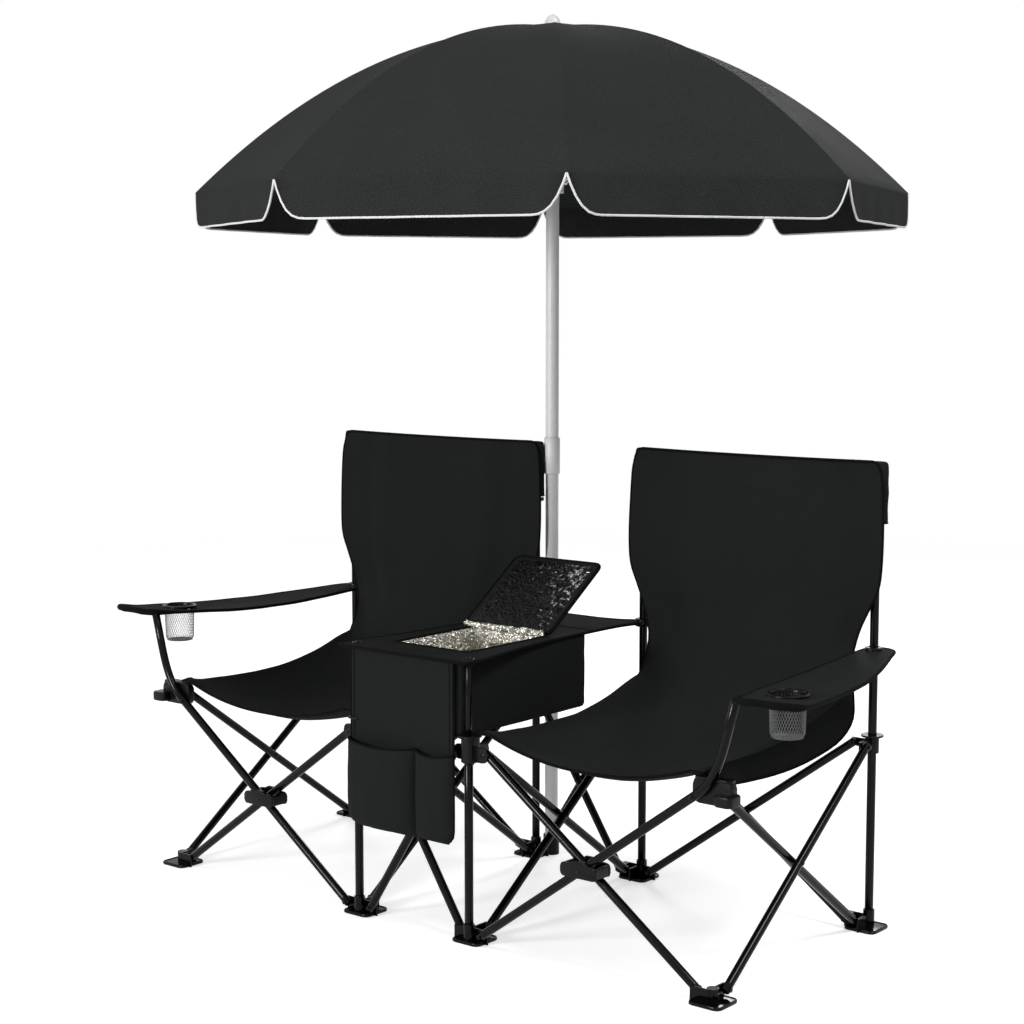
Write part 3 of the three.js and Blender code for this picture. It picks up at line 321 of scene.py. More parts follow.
def frames_along(path):
    """A tangent and two steady directions across it at each point of a path"""
    path = np.asarray(path, float)
    tangents = np.gradient(path, axis=0)
    tangents /= np.linalg.norm(tangents, axis=1)[:, None]
    start = np.eye(3)[np.argmin(abs(tangents[0]))]
    across = np.cross(tangents[0], start)
    result = []
    for t in tangents:
        across = across - t * np.dot(across, t)
        across /= np.linalg.norm(across)
        result.append((t, across.copy(), np.cross(t, across)))
    return result


def turns(sides):
    return [2 * math.pi * k / sides for k in range(sides)]


def ring_faces(rings, sides, closed=False):
    """Faces between rings of points, and from the last ring back to the first where closed"""
    faces = []
    for i in range(rings if closed else rings - 1):
        here, there = i * sides, (i + 1) % rings * sides
        for k in range(sides):
            n = (k + 1) % sides
            faces.append([here + k, here + n, there + n, there + k])
    return faces


def circle(x, y, z, radius, steps):
    """Points of a level ring"""
    return [(x + radius * math.cos(t), y + radius * math.sin(t), z) for t in turns(steps)]


def tube(path, radius, sides=16, closed=False, round_ends=True):
    """Points and faces of a round tube along a path; `radius` is a number or one for each point"""
    path = [np.asarray(p, float) for p in path]
    radii = list(radius) if hasattr(radius, "__len__") else [radius] * len(path)
    if round_ends and not closed:
        lead = (path[0] - path[1]) / np.linalg.norm(path[0] - path[1])
        tail = (path[-1] - path[-2]) / np.linalg.norm(path[-1] - path[-2])
        soft = [(0.0, 0.62), (0.12, 0.85), (0.3, 1.0)]
        first, last = radii[0], radii[-1]
        path = [path[0] - lead * first * a for a, _ in soft] + path[1:-1] + [
            path[-1] - tail * last * a for a, _ in reversed(soft)]
        radii = [first * r for _, r in soft] + radii[1:-1] + [last * r for _, r in reversed(soft)]
    points = []
    directions = frames_along(path + [path[0]])[:-1] if closed else frames_along(path)
    for p, r, (_, a, b) in zip(path, radii, directions):
        points += [p + r * (math.cos(t) * a + math.sin(t) * b) for t in turns(sides)]
    rings = len(path)
    faces = ring_faces(rings, sides, closed)
    if not closed:
        faces += [list(range(sides))[::-1], list(range((rings - 1) * sides, rings * sides))]
    return points, faces


def lathe(x, y, profile, sides=40, stretch=(1, 1)):
    """A profile of (radius, height) turned about an upright axis; closed when it ends where it starts"""
    points = [(x + r * stretch[0] * math.cos(t), y + r * stretch[1] * math.sin(t), z)
              for r, z in profile for t in turns(sides)]
    return points, ring_faces(len(profile), sides)


def run_along(path):
    """How far along a path each of its points lies"""
    return np.concatenate([[0], np.cumsum(np.linalg.norm(np.diff(path, axis=0), axis=1))])


def rim_of(grid):
    """A sheet's edge, once round"""
    return np.vstack([grid[0], grid[1:, -1], grid[-1, ::-1][1:], grid[::-1, 0][1:-1]])


def normals_of(grid):
    down = np.gradient(grid, axis=0)
    across = np.gradient(grid, axis=1)
    n = np.cross(across, down)
    return n / np.maximum(np.linalg.norm(n, axis=2), 1e-9)[:, :, None]


def sheet(grid, thickness, uv=None, normals=None):
    """Points, faces and places in the cloth of a thick sheet on a grid of places"""
    grid = np.asarray(grid, float)
    rows, columns = grid.shape[:2]
    n = normals_of(grid) if normals is None else normals
    points = [*(grid + n * thickness / 2).reshape(-1, 3), *(grid - n * thickness / 2).reshape(-1, 3)]
    size = rows * columns
    faces = []
    for r in range(rows - 1):
        for c in range(columns - 1):
            a, b = r * columns + c, r * columns + c + 1
            d, e = a + columns, b + columns
            faces.append([a, d, e, b])
            faces.append([size + a, size + b, size + e, size + d])
    edge = [r * columns for r in range(rows)] + [(rows - 1) * columns + c for c in range(1, columns)]
    edge += [r * columns + columns - 1 for r in range(rows - 2, -1, -1)]
    edge += [c for c in range(columns - 2, -1, -1)]
    faces += [[a, size + a, size + b, b] for a, b in zip(edge, edge[1:])]
    if uv is None:
        middle = columns // 2
        along = np.repeat(run_along(grid[:, middle])[:, None], columns, 1)
        wide = np.linalg.norm(np.diff(grid, axis=1), axis=2)
        out = np.concatenate([np.zeros((rows, 1)), np.cumsum(wide, axis=1)], axis=1)
        uv = np.stack([out - out[:, middle][:, None], along], axis=2) * MM
    return points, faces, list(uv.reshape(-1, 2)) * 2


def holed(points, faces, x, y, radius):
    """A sheet's faces less those over a round hole, whose edge is closed"""
    size = len(points) // 2
    centres = [np.mean([points[i] for i in f], axis=0) for f in faces]
    kept = [f for f, m in zip(faces, centres) if math.hypot(m[0] - x, m[1] - y) > radius]
    ways = {(a, b) for f in kept for a, b in zip(f, f[1:] + f[:1])}
    open_edges = [(a, b) for a, b in ways if (b, a) not in ways and a < size and b < size]
    return kept + [[b, a, a + size, b + size] for a, b in open_edges]


def resample(rows, count):
    """Rows of values along a smooth curve through those given"""
    rows = np.asarray(rows, float)
    n = len(rows)
    slopes = np.gradient(rows, axis=0)
    at = np.linspace(0, n - 1, count)
    k = np.minimum(at.astype(int), n - 2)
    t = (at - k).reshape(-1, *([1] * (rows.ndim - 1)))
    a, b, sa, sb = rows[k], rows[k + 1], slopes[k], slopes[k + 1]
    return ((2 * t**3 - 3 * t**2 + 1) * a + (t**3 - 2 * t**2 + t) * sa
            + (3 * t**2 - 2 * t**3) * b + (t**3 - t**2) * sb)


def slab(outline, low, high, origin=(0, 0, 0), x_axis=(1, 0, 0), y_axis=(0, 1, 0), bevel=1.5):
    """An outline raised along the axes' cross product, its rims rounded"""
    x_axis, y_axis, origin = map(np.array, (x_axis, y_axis, origin))
    up = np.cross(x_axis, y_axis)
    bm = bmesh.new()
    base, roof = [[bm.verts.new(origin + x_axis * x + y_axis * y + up * rise) for x, y in outline]
                  for rise in (low, high)]
    bm.faces.new(base[::-1])
    bm.faces.new(roof)
    for k in range(len(base)):
        n = (k + 1) % len(base)
        bm.faces.new([base[k], base[n], roof[n], roof[k]])
    rims = [e for e in bm.edges if all(v in base for v in e.verts) or all(v in roof for v in e.verts)]
    if bevel:
        bmesh.ops.bevel(bm, geom=rims, offset=bevel, segments=3, affect="EDGES", profile=0.6)
    bm.verts.index_update()
    points = [tuple(v.co) for v in bm.verts]
    faces = [[v.index for v in f.verts] for f in bm.faces]
    bm.free()
    return points, faces


def rounded(points, radius):
    """An outline with its corners rounded, in five points each"""
    points = [np.array(p, float) for p in points]
    result = []
    for k, p in enumerate(points):
        before, after = points[k - 1], points[(k + 1) % len(points)]
        to_before, to_after = before - p, after - p
        reach = min(radius, np.linalg.norm(to_before) * 0.45, np.linalg.norm(to_after) * 0.45)
        a = p + to_before / np.linalg.norm(to_before) * reach
        b = p + to_after / np.linalg.norm(to_after) * reach
        for t in np.linspace(0, 1, 5):
            result.append((1 - t) ** 2 * a + 2 * t * (1 - t) * p + t**2 * b)
    return result


def rounded_profile(points, radius=0.8):
    """A lathe's profile with its corners softened"""
    result = [points[0]]
    for before, p, after in zip(points, points[1:], points[2:]):
        p = np.array(p, float)
        for other in (before, after):
            away = np.array(other, float) - p
            reach = min(radius, np.linalg.norm(away) * 0.4)
            result.append(tuple(p + away / max(np.linalg.norm(away), 1e-9) * reach))
    return result + [points[-1]]


def collar(middle, half):
    """The profile of a ring round a leg, from its middle height and half its height"""
    low, high, bore, radius = middle - half, middle + half, 9.0, 17
    profile = [(bore, low), (radius - 1, low), (radius, low + 2), (radius, high - 2), (radius - 1, high),
               (bore, high), (bore, low)]
    return rounded_profile(profile, 1.5)


def ripple(x, y, z, size):
    return noise.noise(Vector((x / size, y / size, z / size)))


def anchored(x, y, z):
    return tuple((np.array([x, y, z]) + SHIFT) * MM)


def draw_in(obj):
    """Gives the table and what hangs from it a mesh of its own"""
    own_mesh(obj)


# stage, camera, lights
WHITE = (1, 1, 1, 1)
FLOOR_LIFT, WORLD_LEVEL = 0.55, 0.4
CAMERA_PLACE, CAMERA_TURN, CAMERA_LIFT = (2450.2, -2729.0, 1176.8), 39.195, 6.204
FOCAL_PX, PHOTO_PX, SENSOR = 2012.444, 1024, 36


def seen_directly(tree):
    """One on rays that look straight at a surface, by the camera or through gloss and glass"""
    path = node(tree, "ShaderNodeLightPath").outputs
    seen = math_node(tree, "MAXIMUM", path["Is Camera Ray"], path["Is Glossy Ray"])
    return math_node(tree, "MAXIMUM", seen, path["Is Transmission Ray"])


def lay_floor():
    """A pale floor with the object's shadow, which fades to white far away"""
    half = 30.0
    plane = bpy.data.meshes.new("floor")
    corners = [(-half, -half, 0), (half, -half, 0), (half, half, 0), (-half, half, 0)]
    plane.from_pydata(corners, [], [(0, 1, 2, 3)])
    floor = bpy.data.objects.new("floor", plane)
    floor.location.z = -0.0006
    bpy.context.scene.collection.objects.link(floor)
    material = bpy.data.materials.new("floor")
    material.use_nodes = True
    tree = material.node_tree
    tree.nodes.clear()
    away = node(tree, "ShaderNodeVectorMath", operation="LENGTH", in_0=object_place(tree)).outputs["Value"]
    far = ramp(tree, away, 2.2, 6.0, 0, 1)
    seen = seen_directly(tree)
    matte = node(tree, "ShaderNodeBsdfDiffuse", in_0=(0.8, 0.8, 0.8, 1)).outputs[0]
    level = math_node(tree, "MULTIPLY", seen, FLOOR_LIFT)
    lift = node(tree, "ShaderNodeEmission", in_0=WHITE, in_1=level).outputs[0]
    both = node(tree, "ShaderNodeAddShader", in_0=matte, in_1=lift).outputs[0]
    white = node(tree, "ShaderNodeEmission", in_0=WHITE, in_1=1.0).outputs[0]
    share = math_node(tree, "MULTIPLY", far, seen)
    mix = node(tree, "ShaderNodeMixShader", in_0=share, in_1=both, in_2=white).outputs[0]
    node(tree, "ShaderNodeOutputMaterial", in_0=mix)
    plane.materials.append(material)


def light_room():
    """A white room that lights the object less than it shows itself"""
    world = bpy.data.worlds.new("studio")
    bpy.context.scene.world = world
    world.use_nodes = True
    tree = world.node_tree
    tree.nodes.clear()
    level = ramp(tree, seen_directly(tree), 0, 1, WORLD_LEVEL, 1.0)
    back = node(tree, "ShaderNodeBackground", in_0=WHITE, in_1=level).outputs[0]
    node(tree, "ShaderNodeOutputWorld", in_0=back)


def add_light(name, place, target, size, watts):
    data = bpy.data.lights.new(name, "AREA")
    data.shape = "DISK"
    data.size = size
    data.energy = watts
    lamp = bpy.data.objects.new(name, data)
    lamp.location = place
    lamp.rotation_mode = "QUATERNION"
    lamp.rotation_quaternion = (Vector(target) - Vector(place)).to_track_quat("-Z", "Y")
    bpy.context.scene.collection.objects.link(lamp)


def set_camera():
    turn, lift = math.radians(CAMERA_TURN), math.radians(CAMERA_LIFT)
    data = bpy.data.cameras.new("camera")
    data.sensor_width = SENSOR
    data.lens = SENSOR * FOCAL_PX / PHOTO_PX
    camera = bpy.data.objects.new("camera", data)
    camera.location = anchored(*CAMERA_PLACE)
    back = Vector((math.sin(turn) * math.cos(lift), -math.cos(turn) * math.cos(lift), math.sin(lift)))
    camera.rotation_mode = "QUATERNION"
    camera.rotation_quaternion = (-back).to_track_quat("-Z", "Y")
    bpy.context.scene.collection.objects.link(camera)
    bpy.context.scene.camera = camera


lay_floor()
light_room()
bpy.context.scene.view_settings.view_transform = "Standard"
add_light("key", (-0.9, -4.6, 1.5), (0, 0, 0.6), 1.0, 130)
add_light("top", (2.9, -0.7, 4.5), (0, 0, 1.5), 1.3, 120)
add_light("rim", (-1.5, 3.8, 2.8), (0, 0, 1.0), 1.6, 80)
set_camera()


# frame tubes
ROWS = {"left_outer": -OUTER_X, "left_inner": -INNER_X, "right_inner": INNER_X, "right_outer": OUTER_X}
SIDES = (("left", -1), ("right", 1))


def in_bay(run, along, across, z):
    return np.array([along, across, z] if run == "x" else [across, along, z], float)


def cap_dome(place, axis, radius, height):
    """A rivet's low domed head on a face whose outward direction is axis"""
    place, axis = np.array(place, float), np.array(axis, float)
    path = [place + axis * height * t for t in (0, 0.45, 0.8, 1.0)]
    return tube(path, [radius, radius * 0.92, radius * 0.62, radius * 0.2], 14, round_ends=False)


def cross_tube(cad_node, run, plane, start, end, arm=None):
    """A tube from its foot pin to its top pin and a little past both, with a rivet at its middle"""
    foot, top = in_bay(run, start, plane, FOOT_Z), in_bay(run, end, plane, TOP_Z)
    lead = (top - foot) / np.linalg.norm(top - foot) * TUBE_PAST_PIN
    path = [foot - lead] + [foot + (top - foot) * t for t in (0.02, 0.5, 0.98)]
    path += arm if arm else [top + lead]
    mesh = Mesh().add(*tube(path, TUBE_R, 20))
    side = np.array([0.0, 1, 0] if run == "x" else [1.0, 0, 0])
    for out in (-side, side):
        mesh.add(*cap_dome((foot + top) / 2 + out * (TUBE_R - 0.4), out, RIVET_R, RIVET_RISE))
    return mesh.build("tube_" + cad_node, [STEEL], cad_node, [cad_node])


def arm_path(outward):
    """The bent end of an outer front tube, which carries the armrest"""
    span = PITCH - 2 * PIVOT_IN
    pivot = np.array([outward * (OUTER_X - PIVOT_IN), FRONT_NEAR, TOP_Z])
    slope = np.array([outward * span, 0, TOP_Z - FOOT_Z]) / math.hypot(span, TOP_Z - FOOT_Z)
    start = pivot + slope * 10
    end = start + np.array([outward * 56, 0, 104])
    rise = np.array([outward * 16, 0, 60]) / math.hypot(16, 60)
    pull = np.linalg.norm(end - start) / 3
    a, b = start + slope * pull, end - rise * pull
    bend = [(1 - t)**3 * start + 3 * t * (1 - t)**2 * a + 3 * t * t * (1 - t) * b + t**3 * end
            for t in np.linspace(0, 1, 12)]
    return bend + [end + rise * ((ARM_TUBE_TOP - end[2]) / rise[2])]


def frame_tubes():
    for side, outward in SIDES:
        out, near = outward * (OUTER_X - PIVOT_IN), outward * (INNER_X + PIVOT_IN)
        cross_tube(f"front_arm_tube_{side}", "x", FRONT_NEAR, near, out, arm_path(outward))
        cross_tube(f"front_cross_tube_{side}", "x", FRONT_FAR, out, near)
        cross_tube(f"rear_tube_{side}_from_inner", "x", REAR_FAR, near, out)
        cross_tube(f"rear_tube_{side}_from_outer", "x", REAR_NEAR, out, near)
        for row, x in (("outer", OUTER_X), ("inner", INNER_X)):
            name = f"side_tube_{side}_{row}_from"
            cross_tube(name + "_rear", "y", outward * (x - SIDE_STEP), PIVOT_REAR_Y, PIVOT_FRONT_Y)
            cross_tube(name + "_front", "y", outward * (x + SIDE_STEP), PIVOT_FRONT_Y, PIVOT_REAR_Y)
    left, right = PIVOT_IN - INNER_X, INNER_X - PIVOT_IN
    for end, from_left, from_right in (("front", FRONT_NEAR, FRONT_FAR), ("rear", REAR_FAR, REAR_NEAR)):
        cross_tube(f"centre_{end}_tube_from_left", "x", from_left, left, right)
        cross_tube(f"centre_{end}_tube_from_right", "x", from_right, right, left)


def skin(name, row, y, heights, radius, sides, body):
    """A round skin over an upright tube"""
    shape = tube([(ROWS[row], y, z) for z in heights], radius, sides)
    Mesh().add(*shape).build(f"{name}_skin_{row}", [STEEL], f"{body}_{row}")


frame_tubes()
for row_name in ROWS:
    skin("leg", row_name, LEG_Y, (SKIN_LOW, 200, 600, SLING_TOP - 6.6), SKIN_R, 24, "rear_leg")
for row_name in ("left_inner", "right_inner"):
    skin("post", row_name, POST_Y, (SKIN_LOW, 200, TOP_Z - 17.8), SKIN_R, 24, "front_post")
    skin("rod", row_name, POST_Y, (TOP_Z + 34.2, 450, TABLE_Z - 5.4), ROD_R, 20, "front_joint")


# front joints, hubs and feet
FRONT_FACE, BACK_FACE = FRONT_NEAR - TUBE_R - 0.3, FRONT_FAR + TUBE_R + 0.3
MID_Z = (FOOT_Z + TOP_Z) / 2
FORK_GAP, FORK_T = 8.3, 3.3


def oblong(x0, x1, y0, y1):
    x0, x1 = sorted((x0, x1))
    return [(x0, y0), (x1, y0), (x1, y1), (x0, y1)]


def block(x0, x1, y0, y1, corner, low, high, bevel):
    """A rounded plate seen from above"""
    return slab(rounded(oblong(x0, x1, y0, y1), corner), low, high, bevel=bevel)


def standing(outline, y_from, y_to, corner, bevel):
    """A rounded plate across Y, drawn in X and Z"""
    return slab(rounded(outline, corner), -y_to, -y_from, y_axis=(0, 0, 1), bevel=bevel)


def side_plate(y0, y1, z0, z1, x_from, x_to):
    """A rounded plate across X, drawn in Y and Z"""
    outline = rounded(oblong(y0, y1, z0, z1), 12)
    return slab(outline, *sorted((x_from, x_to)), x_axis=(0, 1, 0), y_axis=(0, 0, 1), bevel=1.2)


def hub_shell(side, way):
    """A low block with open corners for the tubes and a raised middle under its screw"""
    x = way * (INNER_X + OUTER_X) / 2
    outline = [(-39, -13), (39, -13), (39, 11), (17, 12), (14, 17), (-14, 17), (-17, 12), (-39, 11)]
    mesh = Mesh()
    for y_from, y_to in ((FRONT_FACE - 5, FRONT_FACE), (BACK_FACE, BACK_FACE + 5)):
        mesh.add(*standing([(x + px, MID_Z + pz) for px, pz in outline], y_from, y_to, 7, 1.8))
    for end in (-1, 1):
        cheek = oblong(x + end * 32, x + end * 38.6, MID_Z - 11, MID_Z + 9.5)
        mesh.add(*standing(cheek, FRONT_FACE - 3, BACK_FACE + 3, 3, 1.2))
    for y, toward in ((FRONT_FACE - 4.8, -1), (BACK_FACE + 4.8, 1)):
        mesh.add(*cap_dome((x, y, MID_Z), (0, toward, 0), 3.6, 2.2), finish=1)
    name = f"front_hub_{side}"
    mesh.build(f"hub_shell_{side}", [PLASTIC, STEEL], name, [name], sharp=35)


def inner_joint(side, way):
    """A collar round the post with a flange on top and a plate at the end of each of its tubes"""
    x = way * INNER_X
    mesh = Mesh().add(*block(x - 12.5, x + 12.5, -28, 6.5, 10, TOP_Z - 16, TOP_Z + 31, 3))
    mesh.add(*block(x - 18, x + 18, -33.5, 8.5, 15, TOP_Z + 29.5, TOP_Z + 34.5, 1.8))
    for direction in (way, -way):
        pivot = x + direction * PIVOT_IN
        near = way > 0 and direction < 0
        fork = FRONT_NEAR + FORK_GAP if near else FRONT_FAR - FORK_GAP - FORK_T
        plate = oblong(x, pivot + direction * 10, TOP_Z - 14, TOP_Z + 14)
        mesh.add(*standing(plate, fork, fork + FORK_T, 12, 1.2))
        mesh.add(*cap_dome((pivot, fork, TOP_Z), (0, -1, 0), 4.6, 2.0), finish=1)
    inside = x + way * (FORK_GAP - SIDE_STEP)
    mesh.add(*side_plate(POST_Y, PIVOT_FRONT_Y + 9, TOP_Z - 14, TOP_Z + 15, inside, inside + way * 3.4))
    cap = [(6.2, 512), (9.4, 514.9), (10, 516), (10, 518.6), (9.2, 519.6), (0.02, 519.7)]
    mesh.add(*lathe(x, POST_Y, cap, 24))
    name = f"front_joint_{side}_inner"
    mesh.build(f"joint_shell_{side}_inner", [PLASTIC, STEEL], name, [name], sharp=35)


def outer_joint(side, way):
    """A rounded clamp behind the bent tube, with the hook that stands out past it"""
    x = way * OUTER_X
    clamp = oblong(x - way * 38, x + way * 40, TOP_Z - 11, TOP_Z + 33)
    mesh = Mesh().add(*standing(clamp, FRONT_NEAR + FORK_GAP, 5, 13, 2.6))
    mesh.add(*block(x - way * 35, x + way * 37, -13, 9, 9, TOP_Z + 30, TOP_Z + 34.5, 1.6))
    mesh.add(*block(x + way * 16, x + way * 50, FRONT_FACE - 5, 4, 7, TOP_Z - 6.5, TOP_Z + 11.5, 3.2))
    inside = x + way * (FORK_GAP - SIDE_STEP)
    mesh.add(*side_plate(-3, PIVOT_FRONT_Y + 9, TOP_Z - 12, TOP_Z + 15, inside, inside + way * 3.4))
    mesh.add(*cap_dome((x - way * PIVOT_IN, FRONT_FACE, TOP_Z), (0, -1, 0), 5.2, 2.4), finish=1)
    name = f"front_joint_{side}_outer"
    mesh.build(f"joint_shell_{side}_outer", [PLASTIC, STEEL], name, [name], sharp=35)


def foot_plates():
    """Wide foot plates with a soft rim, over the plain ones"""
    for row, x in ROWS.items():
        front = f"front_{'post' if 'inner' in row else 'foot'}_{row}"
        for body, y, end in ((front, 0, "front"), (f"rear_leg_{row}", DEPTH, "rear")):
            mesh = Mesh().add(*block(x - 32, x + 32, y - 32, y + 32, 11, 0.2, 4.4, 1.2))
            rim = rounded(oblong(x - 30.4, x + 30.4, y - 30.4, y + 30.4), 10)
            mesh.add(*tube([(px, py, 4.6) for px, py in rim], 1.5, 8, closed=True))
            mesh.build(f"foot_plate_{end}_{row}", [STEEL], body, sharp=35)


for side_name, sign in SIDES:
    hub_shell(side_name, sign)
    inner_joint(side_name, sign)
    outer_joint(side_name, sign)
foot_plates()


# umbrella's poles
POLE_R, COUPLING_R, SOCKET_R = 13.5, 16.3, 14.2
POLE_LOW, COUPLING_Z, SOCKET_Z = 6.4, (805, 881), 840
CROWN_R, CROWN_H, FINIAL_R, FINIAL_Z, FINIAL_H = 22, 24, 18, 1713.3, 24


def pole(name, profile, body, cad_node):
    Mesh().add(*lathe(POLE_X, POLE_Y, profile, 40)).build(name, [GREY_COAT], body, [cad_node])


def poles():
    low, high = COUPLING_Z
    lower = [(0.01, POLE_LOW), (POLE_R, POLE_LOW), (POLE_R, low), (COUPLING_R, low + 0.5),
             (COUPLING_R, high - 0.5), (SOCKET_R, high), (SOCKET_R, SOCKET_Z), (0.01, SOCKET_Z)]
    pole("pole_lower", rounded_profile(lower), "rear_leg_left_inner", "umbrella_lower_pole")
    crown_top = CANOPY_TOP - 4.2
    crown_low, upper_end = crown_top - CROWN_H, SOCKET_Z + 2
    upper = [(0.01, upper_end), (POLE_R, upper_end), (POLE_R, crown_low), (CROWN_R, crown_low),
             (CROWN_R, crown_top), (6, crown_top), (6, FINIAL_Z), (FINIAL_R, FINIAL_Z)]
    dome = [(FINIAL_R * math.cos(t), FINIAL_Z + FINIAL_H * math.sin(t))
            for t in np.linspace(0, math.pi / 2 - 0.02, 10)]
    pole("pole_upper", rounded_profile(upper) + dome[1:], "umbrella_upper_pole", "umbrella_upper_pole")


poles()


# umbrella's canopy
VALANCE, FLARE, NOTCH, CLOTH_T = 70, 5, 65, 1.6
HALF_GORE = math.pi / RIBS
RIB_TURNS = [FIRST_RIB + turn for turn in turns(RIBS)]


def canopy_place(turn, share, drop):
    """A radius and a height on the canopy, by the turn from a rib and the drop down the valance"""
    off_rib = abs(turn) / HALF_GORE
    r = CANOPY_R * share * math.cos(HALF_GORE) / math.cos(HALF_GORE - abs(turn))
    z = CANOPY_RIM + (CANOPY_TOP - CANOPY_RIM) * (1 - share ** CANOPY_POWER) - 1.2
    slack = math.sin(math.pi * min(off_rib, 1) / 2) ** 2
    z -= 3 * slack * math.sin(math.pi * min(share, 1)) if share < 1 else 0
    if drop:
        along = CANOPY_R * math.sin(HALF_GORE) * off_rib
        lobe = 1 - max(0.0, 1 - along / NOTCH) ** 3
        wave = 2.2 * math.sin(along / 21 + abs(turn) * 3) * drop * lobe
        r += (FLARE * drop + wave) * lobe
        z -= VALANCE * drop * lobe
    return r, z


def gore_grid(spin):
    """A gore from the crown down to its valance's hem, round the rib at the turn given"""
    spread = np.linspace(-1, 1, 41)
    gore_turns = HALF_GORE * np.sign(spread) * abs(spread) ** 1.25
    shares = [0.0098, *(np.linspace(0.0105, 1, 34) ** 0.92)[1:]]
    drops = [(1, drop) for drop in (0.04, 0.15, 0.3, 0.5, 0.7, 0.85, 1.0)]
    grid, uv = [], []
    for share, drop in [(share, 0) for share in shares] + drops:
        row, uv_row = [], []
        for turn in gore_turns:
            r, z = canopy_place(turn, share, drop)
            seam = 0.9 * math.exp(-(r * turn / 4.5) ** 2) if share > 0.06 and not drop else 0
            a = spin + turn
            row.append((POLE_X + r * math.cos(a), POLE_Y + r * math.sin(a), z + seam))
            uv_row.append((r * turn * MM, (CANOPY_R * 1.12 * share + VALANCE * drop) * MM))
        grid.append(row)
        uv.append(uv_row)
    return np.array(grid)[:, ::-1], np.array(uv)[:, ::-1]


def canopy():
    for k, spin in enumerate(RIB_TURNS, 1):
        rib = f"umbrella_rib_{k}"
        grid, uv = gore_grid(spin)
        mesh = Mesh().add(*sheet(grid, CLOTH_T, uv))
        hem, middle = grid[-1], grid.shape[1] // 2
        for part in (hem[:middle + 1], hem[middle:]):
            mesh.roll(part, 2.1)
        obj = mesh.build(f"canopy_gore_{k}", [CANOPY, PIPING], rib,
                         ["umbrella_canopy"] if k == 1 else (), sharp=50)
        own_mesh(obj)


def stretchers():
    """The runner's wire ring and the eight rods up to the ribs, which ride on the runner"""
    runner_z, ring_r, rib_r, rib_z = 1400, 25.8, 378, 1615.6
    ring = circle(POLE_X, POLE_Y, runner_z, ring_r, 40)
    Mesh().add(*tube(ring, 2.5, 10, closed=True)).build(
        "stretcher_ring", [RIB_METAL], "umbrella_runner", ["umbrella_stretchers"])
    for k, spin in enumerate(RIB_TURNS, 1):
        out = np.array([math.cos(spin), math.sin(spin), 0])
        start = np.array([POLE_X, POLE_Y, runner_z]) + out * ring_r
        end = np.array([POLE_X, POLE_Y, rib_z]) + out * rib_r
        mesh = Mesh().add(*tube([start, start + (end - start) * 0.5, end], 2.5, 12))
        for place in (start, end):
            mesh.add(*tube([place - (0, 0, 3.6), place, place + (0, 0, 2.2)], 3.4, 12))
        rod = mesh.build(f"stretcher_{k}", [RIB_METAL], "umbrella_runner")
        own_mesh(rod)


canopy()
stretchers()


# slings
# Along the sling from its top to its front edge, in shares of the pitch, the depth and the top's height:
# half the width, how far back the crest and the middle lie, then the crest's, middle's and edge's height
STATIONS = [
    (0.528, 0.9955, 0.990, 0.9986, 0.997, 0.9986), (0.536, 0.9920, 0.981, 0.953, 0.951, 0.953),
    (0.542, 0.9880, 0.967, 0.880, 0.879, 0.880), (0.543, 0.9840, 0.950, 0.793, 0.793, 0.793),
    (0.534, 0.9810, 0.937, 0.736, 0.735, 0.736), (0.500, 0.9780, 0.927, 0.690, 0.687, 0.690),
    (0.460, 0.9750, 0.914, 0.638, 0.633, 0.638), (0.440, 0.9710, 0.889, 0.580, 0.569, 0.577),
    (0.452, 0.9580, 0.846, 0.529, 0.509, 0.515), (0.474, 0.9220, 0.777, 0.500, 0.456, 0.462),
    (0.474, 0.8350, 0.680, 0.487, 0.414, 0.424), (0.466, 0.6800, 0.540, 0.463, 0.385, 0.403),
    (0.466, 0.4900, 0.385, 0.444, 0.374, 0.396), (0.466, 0.2900, 0.225, 0.441, 0.374, 0.400),
    (0.466, 0.1200, 0.090, 0.444, 0.384, 0.412), (0.464, 0.0360, 0.020, 0.446, 0.396, 0.445),
    (0.462, -0.020, -0.030, 0.447, 0.407, 0.445)]
CREST, WAIST = 0.9, 7.2
CORNER_R, CORNER_FADE = 19, 48
ROWS_ALONG, COLUMNS, MIDDLE = 161, 61, 30
UNDER_WAIST, MID_SEAT = 84, 118


def bump_at(value, place, width):
    return math.exp(-((value - place) / width) ** 2)


def round_corners(grid, centre_x, half):
    """Lowers a back's two top corners, less and less down the cloth"""
    top = grid[0, MIDDLE, 2]
    for row in grid:
        below = top - row[MIDDLE, 2]
        if below > CORNER_FADE:
            break
        for point in row:
            into = max(0.0, abs(point[0] - centre_x) - (half - CORNER_R))
            drop = CORNER_R - math.sqrt(max(CORNER_R ** 2 - into ** 2, 0))
            point[2] -= drop * (1 - below / CORNER_FADE)


